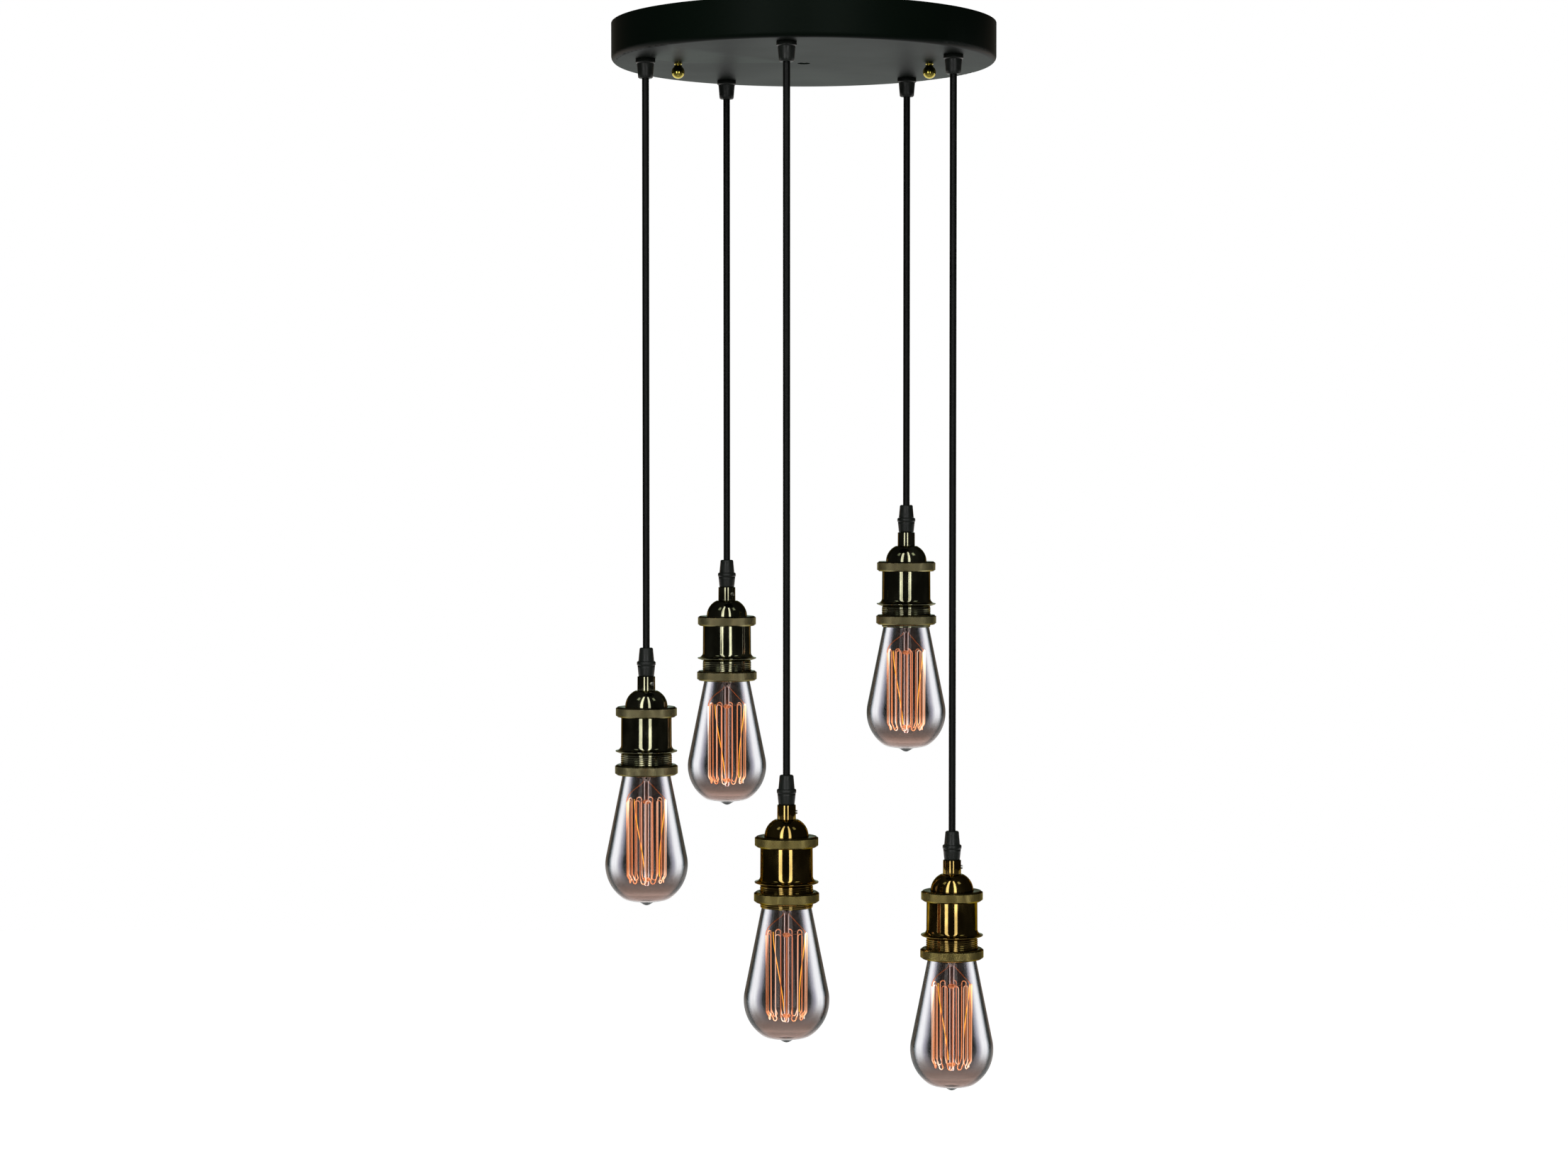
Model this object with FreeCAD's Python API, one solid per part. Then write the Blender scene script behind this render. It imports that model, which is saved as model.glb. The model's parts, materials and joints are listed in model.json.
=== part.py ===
# Cluster pendant: a round ceiling canopy, five flexes of different lengths, and on each flex
# a turned metal lamp holder with a squirrel-cage filament bulb.
#
# Millimetres, +Z up. The origin is on the ceiling, in the middle of the crossbar's top face,
# and the whole light hangs below it. -Y is the front.
import FreeCAD, Part
import math
import os

V = FreeCAD.Vector
UP = V(0, 0, 1)
ORIGIN = V(0, 0, 0)
TINY = 1e-6
WIRE_SIDES = 6
CUP_EDGE_TURN = 60              # degrees, from the flex's axis to the edge of each cup at its bend

# ---------------------------------------------------------------------------------------
# Driving dimensions, mm
# ---------------------------------------------------------------------------------------

# canopy
CANOPY_DIAMETER = 300.0
CANOPY_HEIGHT = 30.0
CANOPY_WALL = 1.2
CANOPY_CORNER = 4.5             # outside radius between its floor and its wall
CENTRE_HOLE = 10.0              # spare cable hole in the middle

# where the five flexes leave the canopy
GRIP_FROM_EDGE = 25.0           # from the canopy's edge to a flex's middle
FIRST_GRIP_TURN = -6.2          # degrees from the front, towards the right
# name, place round the circle, visible flex, barrel lip below the shade ring, screw's direction
PENDANTS = (
    ("front", 0, 530.0, 3.8, 0.0),
    ("right", 1, 580.0, 0.7, 0.0),
    ("back_right", 2, 330.0, 2.0, 120.0),
    ("back_left", 3, 375.0, 0.5, -50.0),
    ("left", 4, 440.0, 0.3, -50.0),
)

# crossbar, its studs and their cap nuts
STUD_FROM_EDGE = 52.0           # from the canopy's edge to a stud's middle
STUD_DIAMETER = 4.0
STUD_IN_NUT = 7.5
STUD_NUT_ACROSS_FLATS = 7.0
STUD_NUT_HEIGHT = 3.2
BAR_WIDTH = 24.0
BAR_THICKNESS = 2.0
BAR_PAST_STUD = 9.0
BAR_CORNER = 6.0
BAR_CENTRE_HOLE = 10.4
SMALL_BOX_SPACING = 69.85       # the two screw spacings of ceiling boxes that the slots span
LARGE_BOX_SPACING = 88.9
BOX_SCREW_HOLE = 4.4
EARTH_SCREW_PLACE = 62.0        # along the bar
EARTH_SCREW_DIAMETER = 4.0
EARTH_HEAD_ACROSS_FLATS = 8.0
EARTH_HEAD_HEIGHT = 2.6
EARTH_SLOT = 0.8
CAP_NUT_BALL = 10.3
CAP_NUT_NECK = 6.1
CAP_NUT_NECK_HEIGHT = 2.5
CAP_NUT_GROOVE = 0.45

# flex and its conductors
FLEX_DIAMETER = 5.4
CONDUCTOR_DIAMETER = 2.0
CONDUCTOR_BEND = 5.0            # to the conductor's middle
CONDUCTORS_APART = 2.6          # where they leave the sheath
SHEATH_PAST_STUB = 3.0
CONDUCTOR_RUN_DEPTH = 10.0      # below the ceiling

# grip in the canopy
GRIP_RIM_DIAMETER = 15.2
GRIP_RIM_HEIGHT = 3.5
GRIP_CONE_TOP = 13.2
GRIP_CONE_END = 11.3
GRIP_CONE_LENGTH = 11.3
GRIP_THREAD = 9.6
GRIP_STUB = 9.0                 # thread that stands into the canopy, from its floor
GRIP_SPIGOT_DIAMETER = 9.2
GRIP_SPIGOT_LENGTH = 7.0
LOCKNUT_ACROSS_FLATS = 14.0
LOCKNUT_HEIGHT = 4.0

# terminal block on the canopy's floor
POLES = 10
POLE_PITCH = 6.0
POLE_WIDTH = 4.8
POLE_DEPTH = 10.0
BLOCK_WIDTH = 16.0
BLOCK_BASE = 6.0
BLOCK_HEIGHT = 11.8
BLOCK_SET_BACK = 22.0           # behind the middle of the canopy
PORT_WIDTH = CONDUCTOR_DIAMETER + 0.4
PORT_DEPTH = 3.0

# grip on the lamp holder
CAP_TOP_DIAMETER = 10.3
CAP_END_DIAMETER = 12.2
CAP_LENGTH = 10.5
BODY_RIM_DIAMETER = 14.6
BODY_RIM_HEIGHT = 3.5
BODY_TOP_DIAMETER = 13.7
BODY_END_DIAMETER = 12.0
BODY_LENGTH = 8.3
BODY_THREAD = 9.6
BODY_STUB = 8.0

# lamp holder
FERRULE_DIAMETER = 14.0
FERRULE_HEIGHT = 11.0
FERRULE_BORE = 10.2
SCREW_DIAMETER = 3.0
SCREW_PROUD = 1.2
SCREW_SLOT = 0.7                # width and depth
DOME_SHOULDER = 17.0
DOME_DIAMETER = 33.0
DOME_HEIGHT = 12.5
DOME_WALL = 1.5
DOME_FLANGE_PLAY = 0.55         # radial, in the upper ring
DOME_FLANGE_HEIGHT = 1.6
UPPER_RING_WALL = 3.75
UPPER_RING_HEIGHT = 8.0
UPPER_RING_LIP = 1.5
RING_CORNER = 1.2
BARREL_UNDER_THREAD = 0.25      # radial, the tube below the thread's crests
BARREL_WALL = 2.25
BARREL_BELOW_RING = 26.0        # from the upper ring's underside to the shade flange's edge
FLANGE_REACH = 4.25             # radial, beyond the tube
FLANGE_EDGE = 0.8
FLANGE_SWEEP = 4.1              # radius of the trumpet
GROOVE_DEPTH = 0.75             # below the thread's crests
GROOVE_HEIGHT = 1.8
THREAD_DIAMETER = 40.0
THREAD_LENGTH = 16.7
MOUTH_WALL = 1.1
LEDGE_CLEARANCE = 1.9           # radial, round the bulb's base
LEDGE_HEIGHT = 1.5
LOWER_RING_WALL = 4.15
LOWER_RING_HEIGHT = 8.0

# socket core
CORE_BASE = 9.7
CORE_ABOVE_RIM = 5.0            # its end above the rim of the bulb's base
SOCKET_SHELL_WALL = 0.5
TAB_WIDTH = 6.0
TAB_RISE = 2.0                  # from the core's floor to the bulb's contact

# bulb
BULB_DIAMETER = 64.2
BULB_GLASS_LENGTH = 113.0
BULB_WALL = 0.8
BULB_NECK = 24.8
BULB_NECK_IN_BASE = 5.0
BULB_TIP_RADIUS = 7.0           # the sealed tip, a low point on the round end
BULB_TIP_RISE = 2.9
BULB_TIP_BLUNT = 3.2
BULB_LOW_TURN = 35.0            # degrees round the ball from its lowest point to that rise
BULB_SHOULDER_HEIGHT = 7.0      # between the cone and the neck
BASE_DIAMETER = 26.2
BASE_WALL = 0.4
BASE_SHELL_LENGTH = 22.0
BASE_CONE_END = 12.0
BASE_CONE_LENGTH = 3.3
CONTACT_DIAMETER = 9.4
CONTACT_HEIGHT = 1.7

# inside the bulb
CAGE_DIAMETER = 31.0
CAGE_BOTTOM = 18.0              # above the bulb's tip
CAGE_TOP = 83.0
CAGE_DRAW_HEIGHT = 6.5          # the lowest stretch of each strand, which leans to the stem
CAGE_DRAW_IN = 2.2
FRONT_HAIRPIN_COUNT = 6
BACK_HAIRPIN_COUNT = 5
CAGE_WIRE = 0.6                 # square wire
STEM_DIAMETER = 3.8
STEM_BOTTOM = 15.0
PINCH_WIDTH = 10.0
PINCH_THICKNESS = 3.6
PINCH_HEIGHT = 10.6
PINCH_BOTTOM = 96.0
FLARE_WALL = 0.9
BUTTON_DIAMETER = 5.6
BUTTON_HEIGHT = 2.4
HOOK_WIRE = 0.5
LEAD_WIRE = 0.7
LEAD_DROP = {-1: 6.0, 1: 4.0}   # straight down from the pinch, by side
LEAD_SWING = {-1: 0.93, 1: 0.9}  # where it turns down again, in radii of the cage
LEAD_RISE = {-1: 6.0, 1: 3.2}   # and how far above its clamp
LEAD_BENDS = {-1: (4.0, 3.0), 1: (4.0, 1.8)}
CLAMP_WIDTH = 1.0
CLAMP_HEIGHT = 1.2

# clearances
CORD_CLEARANCE = 0.3            # radial, flex in its grips
BEND_CLEARANCE = 0.3            # between the ball of the bend and the flex
SEAT_GAP = 0.1                  # flat faces on one body
FIT = 0.15                      # radial, plug fits on one body
RUNNING = 0.3                   # radial, pieces that slide or turn on each other
EDGE_BREAK = 0.7                # setback of the chamfer on small edges
HOLE_FIT = 0.4                  # radial, screws and studs through plain holes

# ---------------------------------------------------------------------------------------
# Worked out from them
# ---------------------------------------------------------------------------------------

CANOPY_FLOOR = -CANOPY_HEIGHT + CANOPY_WALL
GRIP_LENGTH = GRIP_RIM_HEIGHT + GRIP_CONE_LENGTH
PIVOT_Z = -CANOPY_HEIGHT - GRIP_LENGTH
FLEX_BORE = FLEX_DIAMETER / 2 + CORD_CLEARANCE + 0.1
HOLDER_GRIP_LENGTH = CAP_LENGTH + BODY_RIM_HEIGHT + BODY_LENGTH
BALL_SOCKET = FLEX_DIAMETER / 2 + BEND_CLEARANCE
GRIP_CIRCLE = CANOPY_DIAMETER / 2 - GRIP_FROM_EDGE
STUD_SPACING = CANOPY_DIAMETER - 2 * STUD_FROM_EDGE

# across a lamp holder, worked outwards and inwards from its thread
BARREL_DIAMETER = THREAD_DIAMETER - 2 * BARREL_UNDER_THREAD
BARREL_BORE = BARREL_DIAMETER - 2 * BARREL_WALL
UPPER_RING_BORE = BARREL_DIAMETER + 2 * RUNNING
UPPER_RING_DIAMETER = UPPER_RING_BORE + 2 * UPPER_RING_WALL
DOME_FLANGE_DIAMETER = UPPER_RING_BORE - 2 * DOME_FLANGE_PLAY
FLANGE_DIAMETER = BARREL_DIAMETER + 2 * FLANGE_REACH
GROOVE_DIAMETER = THREAD_DIAMETER - 2 * GROOVE_DEPTH
MOUTH_BORE = THREAD_DIAMETER - 2 * MOUTH_WALL
LEDGE_BORE = BASE_DIAMETER + 2 * LEDGE_CLEARANCE
LOWER_RING_BORE = THREAD_DIAMETER + 2 * RUNNING
LOWER_RING_DIAMETER = LOWER_RING_BORE + 2 * LOWER_RING_WALL
CORE_DIAMETER = BARREL_BORE - 2 * RUNNING

# depths in a lamp holder, measured down from the ferrule's top
DOME_TOP = FERRULE_HEIGHT
RING_TOP = DOME_TOP + DOME_HEIGHT
RING_BOTTOM = RING_TOP + UPPER_RING_HEIGHT
DOME_FLANGE_TOP = RING_TOP + UPPER_RING_LIP + SEAT_GAP
DOME_FLANGE_BOTTOM = DOME_FLANGE_TOP + DOME_FLANGE_HEIGHT
BARREL_TOP = DOME_FLANGE_BOTTOM + SEAT_GAP
FLANGE_TOP = RING_BOTTOM + BARREL_BELOW_RING
FLANGE_BOTTOM = FLANGE_TOP + FLANGE_EDGE
THREAD_TOP = FLANGE_BOTTOM + GROOVE_HEIGHT
BARREL_END = THREAD_TOP + THREAD_LENGTH
CORE_TOP = BARREL_TOP
CORE_FLOOR = CORE_TOP + CORE_BASE
CONTACT_TOP = CORE_FLOOR + TAB_RISE

BULB_LENGTH = BULB_GLASS_LENGTH + BASE_SHELL_LENGTH + BASE_CONE_LENGTH + CONTACT_HEIGHT
BULB_TIP = CONTACT_TOP + BULB_LENGTH
BASE_RIM = BULB_TIP - BULB_GLASS_LENGTH

# the bulb's cone leans so that it leaves its ball at a tangent and just clears the barrel's mouth
MOUTH_ABOVE_BALL = BULB_TIP - BARREL_END - BULB_DIAMETER / 2
GLASS_IN_MOUTH = MOUTH_BORE / 2 - RUNNING
BULB_LEAN = math.atan2(MOUTH_ABOVE_BALL, GLASS_IN_MOUTH) - math.acos(
    BULB_DIAMETER / 2 / math.hypot(MOUTH_ABOVE_BALL, GLASS_IN_MOUTH)
)
SOCKET_BORE = BASE_DIAMETER / 2 + RUNNING
CORE_BORE = SOCKET_BORE + SOCKET_SHELL_WALL + FIT
CORE_END = BASE_RIM - CORE_ABOVE_RIM
SOCKET_SHELL_TOP = BASE_RIM - BASE_SHELL_LENGTH

# ---------------------------------------------------------------------------------------
# Shape helpers
# ---------------------------------------------------------------------------------------


def corner_arc(before, corner, after, radius):
    """The arc that rounds one corner: its first, middle and last points."""
    back = (before - corner).normalize()
    ahead = (after - corner).normalize()
    half = back.getAngle(ahead) / 2
    inward = (back + ahead).normalize()
    reach = radius / math.tan(half)
    centre = corner + inward * (radius / math.sin(half))
    return corner + back * reach, centre - inward * radius, corner + ahead * reach


def rounded_edges(points, sizes, closed):
    """Straight edges through the points. A corner's size is 0 where it is sharp, above 0 the
    radius of its rounding, and below 0 the setback of its chamfer."""
    count = len(points)
    edges = []
    here = None
    first = None
    for i, corner in enumerate(points):
        before = points[i - 1]
        after = points[(i + 1) % count]
        at_end = not closed and i in (0, count - 1)
        start, middle, stop = corner, None, corner
        if sizes[i] > 0 and not at_end:
            start, middle, stop = corner_arc(before, corner, after, sizes[i])
        elif sizes[i] < 0:
            start = corner + (before - corner).normalize() * -sizes[i]
            stop = corner + (after - corner).normalize() * -sizes[i]
        if here is not None and here.distanceToPoint(start) > TINY:
            edges.append(Part.LineSegment(here, start).toShape())
        if middle is not None:
            edges.append(Part.Arc(start, middle, stop).toShape())
        elif start.distanceToPoint(stop) > TINY:
            edges.append(Part.LineSegment(start, stop).toShape())
        first = first or start
        here = stop
    if closed and here.distanceToPoint(first) > TINY:
        edges.append(Part.LineSegment(here, first).toShape())
    return edges


def turned(corners):
    """A solid turned about Z. Corners are (radius, height) or (radius, height, size), with
    the size as in rounded_edges."""
    points = [V(c[0], 0, c[1]) for c in corners]
    sizes = [c[2] if len(c) > 2 else 0.0 for c in corners]
    outline = Part.Wire(rounded_edges(points, sizes, True))
    return Part.Face(outline).revolve(ORIGIN, UP, 360)


def near_sphere(radius, first_turn, last_turn):
    """Corners of a ball's outline, every 30 degrees from its lowest point."""
    corners = []
    for turn in range(first_turn, last_turn + 1, 30):
        angle = math.radians(turn)
        corners.append((radius * math.sin(angle), -radius * math.cos(angle)))
    return corners


def rod(radius, low, high, x=0.0, y=0.0):
    return Part.makeCylinder(radius, high - low, V(x, y, low))


def hexagon(across_flats, low, high):
    corner = across_flats / math.sqrt(3)
    points = []
    for i in range(7):
        turn = math.radians(60 * i)
        points.append(V(corner * math.cos(turn), corner * math.sin(turn), low))
    return Part.Face(Part.makePolygon(points)).extrude(V(0, 0, high - low))


def nut(across_flats, low, high, bore):
    return hexagon(across_flats, low, high).cut(rod(bore, low - 1, high + 1))


def swept(points, bends, section):
    """A solid swept along straight runs joined by tangent arcs, and the length of its path."""
    path = Part.Wire(rounded_edges(points, bends, False))
    return path.makePipeShell([section], True, False), path.Length


def wire_section(centre, radius):
    """A thin wire's section, level and six-sided, with a round wire's width."""
    points = []
    for i in range(WIRE_SIDES + 1):
        turn = 2 * math.pi * i / WIRE_SIDES
        points.append(centre + V(radius * math.cos(turn), radius * math.sin(turn), 0))
    return Part.makePolygon(points)


def square_section(centre, along_x, along_y, side):
    u = along_x * (side / 2)
    w = along_y * (side / 2)
    points = [centre + u + w, centre - u + w, centre - u - w, centre + u - w, centre + u + w]
    return Part.makePolygon(points)


def grip_place(index):
    """The middle of a flex, in plan."""
    turn = math.radians(FIRST_GRIP_TURN + 360.0 / len(PENDANTS) * index)
    return V(GRIP_CIRCLE * math.sin(turn), -GRIP_CIRCLE * math.cos(turn), 0)


def save(name, *solids):
    shape = solids[0] if len(solids) == 1 else Part.makeCompound(list(solids))
    for solid in shape.Solids:
        if not solid.isValid() or solid.Volume <= 0:
            raise ValueError(name + " has a solid that isn't valid")
    shape.exportStep("parts/" + name + ".step")


# ---------------------------------------------------------------------------------------
# Canopy
# ---------------------------------------------------------------------------------------


def canopy_pan():
    outside = CANOPY_DIAMETER / 2
    inside = outside - CANOPY_WALL
    pan = turned([
        (0, -CANOPY_HEIGHT),
        (outside, -CANOPY_HEIGHT, CANOPY_CORNER),
        (outside, 0),
        (inside, 0),
        (inside, CANOPY_FLOOR, CANOPY_WALL - CANOPY_CORNER),
        (0, CANOPY_FLOOR),
    ])
    low = -CANOPY_HEIGHT - 1
    high = CANOPY_FLOOR + 1
    pan = pan.cut(rod(CENTRE_HOLE / 2, low, high))
    for side in (-1, 1):
        hole = STUD_DIAMETER / 2 + HOLE_FIT
        pan = pan.cut(rod(hole, low, high, x=side * STUD_SPACING / 2))
    for pendant in PENDANTS:
        place = grip_place(pendant[1])
        pan = pan.cut(rod(GRIP_THREAD / 2 + FIT, low, high, place.x, place.y))
    return pan


def box_screw_slot(middle_x):
    """One screw slot of the crossbar, long enough for both box sizes."""
    radius = BOX_SCREW_HOLE / 2
    travel = (LARGE_BOX_SPACING - SMALL_BOX_SPACING) / 2
    low = -BAR_THICKNESS - 1
    height = BAR_THICKNESS + 2
    slot = Part.makeBox(travel, 2 * radius, height, V(middle_x - travel / 2, -radius, low))
    for end in (-1, 1):
        slot = slot.fuse(rod(radius, low, low + height, x=middle_x + end * travel / 2))
    return slot


def crossbar():
    half_length = STUD_SPACING / 2 + BAR_PAST_STUD
    half_width = BAR_WIDTH / 2
    corners = [
        V(-half_length, -half_width, -BAR_THICKNESS),
        V(half_length, -half_width, -BAR_THICKNESS),
        V(half_length, half_width, -BAR_THICKNESS),
        V(-half_length, half_width, -BAR_THICKNESS),
    ]
    outline = Part.Wire(rounded_edges(corners, [BAR_CORNER] * 4, True))
    bar = Part.Face(outline).extrude(V(0, 0, BAR_THICKNESS))
    low = -BAR_THICKNESS - 1
    bar = bar.cut(rod(BAR_CENTRE_HOLE / 2, low, 1))
    bar = bar.cut(rod(EARTH_SCREW_DIAMETER / 2 + FIT, low, 1, x=EARTH_SCREW_PLACE))
    middle = (LARGE_BOX_SPACING + SMALL_BOX_SPACING) / 4
    for side in (-1, 1):
        bar = bar.cut(rod(STUD_DIAMETER / 2 + FIT, low, 1, x=side * STUD_SPACING / 2))
        bar = bar.cut(box_screw_slot(side * middle))
    return bar


def crossbar_studs():
    """Two threaded studs, each with the nut that locks it under the bar."""
    end = -CANOPY_HEIGHT - STUD_IN_NUT
    nut_top = -BAR_THICKNESS - SEAT_GAP
    solids = []
    for side in (-1, 1):
        offset = V(side * STUD_SPACING / 2, 0, 0)
        lock = nut(
            STUD_NUT_ACROSS_FLATS, nut_top - STUD_NUT_HEIGHT, nut_top, STUD_DIAMETER / 2 + FIT
        )
        solids.append(rod(STUD_DIAMETER / 2, end, 0, x=offset.x))
        solids.append(lock.translated(offset))
    return solids


def cap_nuts():
    """Brass balls that screw onto the studs and hold the canopy up."""
    ball = CAP_NUT_BALL / 2
    neck = CAP_NUT_NECK / 2
    top = -CANOPY_HEIGHT - SEAT_GAP
    neck_end = top - CAP_NUT_NECK_HEIGHT
    middle = neck_end - math.sqrt(ball ** 2 - neck ** 2)
    third = CAP_NUT_NECK_HEIGHT / 3
    collar = turned([
        (0, top),
        (neck, top),
        (neck, top - third),
        (neck - CAP_NUT_GROOVE, top - third),
        (neck - CAP_NUT_GROOVE, top - 2 * third),
        (neck, top - 2 * third),
        (neck, neck_end - 0.5),
        (0, neck_end - 0.5),
    ])
    blank = collar.fuse(Part.makeSphere(ball, V(0, 0, middle)))
    bore_end = -CANOPY_HEIGHT - STUD_IN_NUT - RUNNING
    blank = blank.cut(rod(STUD_DIAMETER / 2 + FIT, bore_end, top + 1))
    return [blank.translated(V(side * STUD_SPACING / 2, 0, 0)) for side in (-1, 1)]


def earth_screw():
    """The green earth screw, driven into the crossbar from below."""
    head_top = -BAR_THICKNESS - SEAT_GAP
    head_bottom = head_top - EARTH_HEAD_HEIGHT
    shank = rod(EARTH_SCREW_DIAMETER / 2, head_top, 0, x=EARTH_SCREW_PLACE)
    head = hexagon(EARTH_HEAD_ACROSS_FLATS, head_bottom, head_top)
    slot = Part.makeBox(
        EARTH_HEAD_ACROSS_FLATS * 2, EARTH_SLOT, EARTH_SLOT,
        V(-EARTH_HEAD_ACROSS_FLATS, -EARTH_SLOT / 2, head_bottom),
    )
    return shank.fuse(head.cut(slot).translated(V(EARTH_SCREW_PLACE, 0, 0)))


def canopy_grip():
    """A cord grip round the Z axis: its threaded body and the cone screwed onto it."""
    bore = FLEX_BORE
    top = CANOPY_FLOOR + GRIP_STUB
    under_pan = -CANOPY_HEIGHT - SEAT_GAP
    rim_end = -CANOPY_HEIGHT - GRIP_RIM_HEIGHT
    spigot_end = rim_end - GRIP_SPIGOT_LENGTH
    rim = GRIP_RIM_DIAMETER / 2
    spigot = GRIP_SPIGOT_DIAMETER / 2
    body = turned([
        (bore, top),
        (GRIP_THREAD / 2, top),
        (GRIP_THREAD / 2, under_pan),
        (rim, under_pan),
        (rim, rim_end, -EDGE_BREAK),
        (spigot, rim_end),
        (spigot, spigot_end),
        (bore, spigot_end),
    ])
    cone_top = rim_end - SEAT_GAP
    seat = spigot_end - FIT
    cone = turned([
        (spigot + FIT, cone_top),
        (GRIP_CONE_TOP / 2, cone_top),
        (GRIP_CONE_END / 2, PIVOT_Z, -EDGE_BREAK),
        (bore, PIVOT_Z),
        (bore, seat),
        (spigot + FIT, seat),
    ])
    return [body, cone]


def canopy_grips():
    return [
        solid.translated(grip_place(pendant[1]))
        for pendant in PENDANTS
        for solid in canopy_grip()
    ]


def grip_locknuts():
    low = CANOPY_FLOOR + SEAT_GAP
    ring = nut(LOCKNUT_ACROSS_FLATS, low, low + LOCKNUT_HEIGHT, GRIP_THREAD / 2 + FIT)
    return [ring.translated(grip_place(pendant[1])) for pendant in PENDANTS]


def port_x(pole):
    return (pole - (POLES - 1) / 2) * POLE_PITCH


def terminal_block():
    """A strip of screw terminals: one live and one neutral pole for each flex."""
    low = CANOPY_FLOOR + SEAT_GAP
    top = low + BLOCK_HEIGHT
    length = POLES * POLE_PITCH + 2
    block = Part.makeBox(
        length, BLOCK_WIDTH, BLOCK_BASE, V(-length / 2, BLOCK_SET_BACK - BLOCK_WIDTH / 2, low)
    )
    for pole in range(POLES):
        x = port_x(pole)
        block = block.fuse(Part.makeBox(
            POLE_WIDTH, POLE_DEPTH, BLOCK_HEIGHT,
            V(x - POLE_WIDTH / 2, BLOCK_SET_BACK - POLE_DEPTH / 2, low),
        ))
    for pole in range(POLES):
        port = Part.makeBox(
            PORT_WIDTH, PORT_WIDTH, PORT_DEPTH + 1,
            V(port_x(pole) - PORT_WIDTH / 2, BLOCK_SET_BACK - PORT_WIDTH / 2, top - PORT_DEPTH),
        )
        block = block.cut(port)
    return block.removeSplitter()


def inner_leads():
    """Inside the canopy: each flex's end, and its two conductors run to the terminal block."""
    sheath_top = CANOPY_FLOOR + GRIP_STUB + SHEATH_PAST_STUB
    port_floor = CANOPY_FLOOR + SEAT_GAP + BLOCK_HEIGHT - PORT_DEPTH + SEAT_GAP
    leads_x = sorted(PENDANTS, key=lambda pendant: grip_place(pendant[1]).x)
    radius = FLEX_DIAMETER / 2
    cup = near_sphere(BALL_SOCKET, 180 - CUP_EDGE_TURN, 180)
    tail_end = sheath_top - PIVOT_Z
    tail = turned(cup + [(0, tail_end), (radius, tail_end), (radius, cup[0][1])])
    solids = []
    for order, pendant in enumerate(leads_x):
        place = grip_place(pendant[1])
        solids.append(tail.translated(place + UP * PIVOT_Z))
        inward = V(port_x(2 * order + 0.5) - place.x, BLOCK_SET_BACK - place.y, 0).normalize()
        # the pair leaves the sheath side by side across its run, in the order of the ports
        across = V(inward.y, -inward.x, 0)
        if across.x < 0:
            across = across * -1
        for core in (0, 1):
            start = place + across * (CONDUCTORS_APART * (core - 0.5))
            port = V(port_x(2 * order + core), BLOCK_SET_BACK, 0)
            heights = (sheath_top, -CONDUCTOR_RUN_DEPTH, -CONDUCTOR_RUN_DEPTH, port_floor)
            ends = (start, start, port, port)
            points = [V(end.x, end.y, z) for end, z in zip(ends, heights)]
            section = wire_section(points[0], CONDUCTOR_DIAMETER / 2)
            lead, length = swept(points, [CONDUCTOR_BEND] * 4, section)
            ideal = Part.Face(section).Area * length
            print("conductor", pendant[0], core, "bend", CONDUCTOR_BEND, "length",
                  round(length, 1), "volume over section times length", round(lead.Volume / ideal, 4))
            solids.append(lead)
    return solids


# ---------------------------------------------------------------------------------------
# One pendant: everything is built on the Z axis with the ferrule's top at height 0
# ---------------------------------------------------------------------------------------


def flex_bend():
    """The ball of flex at the mouth of the canopy's grip, about which the pendant swings."""
    return turned(near_sphere(FLEX_DIAMETER / 2, 0, 180))


def flex(length):
    """From the bend, at height 0, down to the socket core. Its top cups the ball."""
    end = length + HOLDER_GRIP_LENGTH + CORE_TOP - RUNNING
    radius = FLEX_DIAMETER / 2
    cup = near_sphere(BALL_SOCKET, 0, CUP_EDGE_TURN)
    return turned([(0, -end), (radius, -end), (radius, cup[-1][1])] + cup[::-1])


def holder_grip():
    """The cord grip on top of the holder: a tapered cap screwed onto a collared body."""
    bore = FLEX_BORE
    rim = BODY_RIM_DIAMETER / 2
    rim_top = BODY_LENGTH + BODY_RIM_HEIGHT
    spigot = GRIP_SPIGOT_DIAMETER / 2
    spigot_top = rim_top + GRIP_SPIGOT_LENGTH
    body = turned([
        (bore, spigot_top),
        (spigot, spigot_top),
        (spigot, rim_top),
        (rim, rim_top, -EDGE_BREAK),
        (rim, BODY_LENGTH, -EDGE_BREAK),
        (BODY_TOP_DIAMETER / 2, BODY_LENGTH),
        (BODY_END_DIAMETER / 2, SEAT_GAP),
        (BODY_THREAD / 2, SEAT_GAP),
        (BODY_THREAD / 2, -BODY_STUB),
        (bore, -BODY_STUB),
    ])
    low = rim_top + SEAT_GAP
    top = HOLDER_GRIP_LENGTH
    seat = spigot_top + FIT
    cap = turned([
        (bore, seat),
        (bore, top),
        (CAP_TOP_DIAMETER / 2, top, -EDGE_BREAK),
        (CAP_END_DIAMETER / 2, low),
        (spigot + FIT, low),
        (spigot + FIT, seat),
    ])
    return [body, cap]


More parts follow.
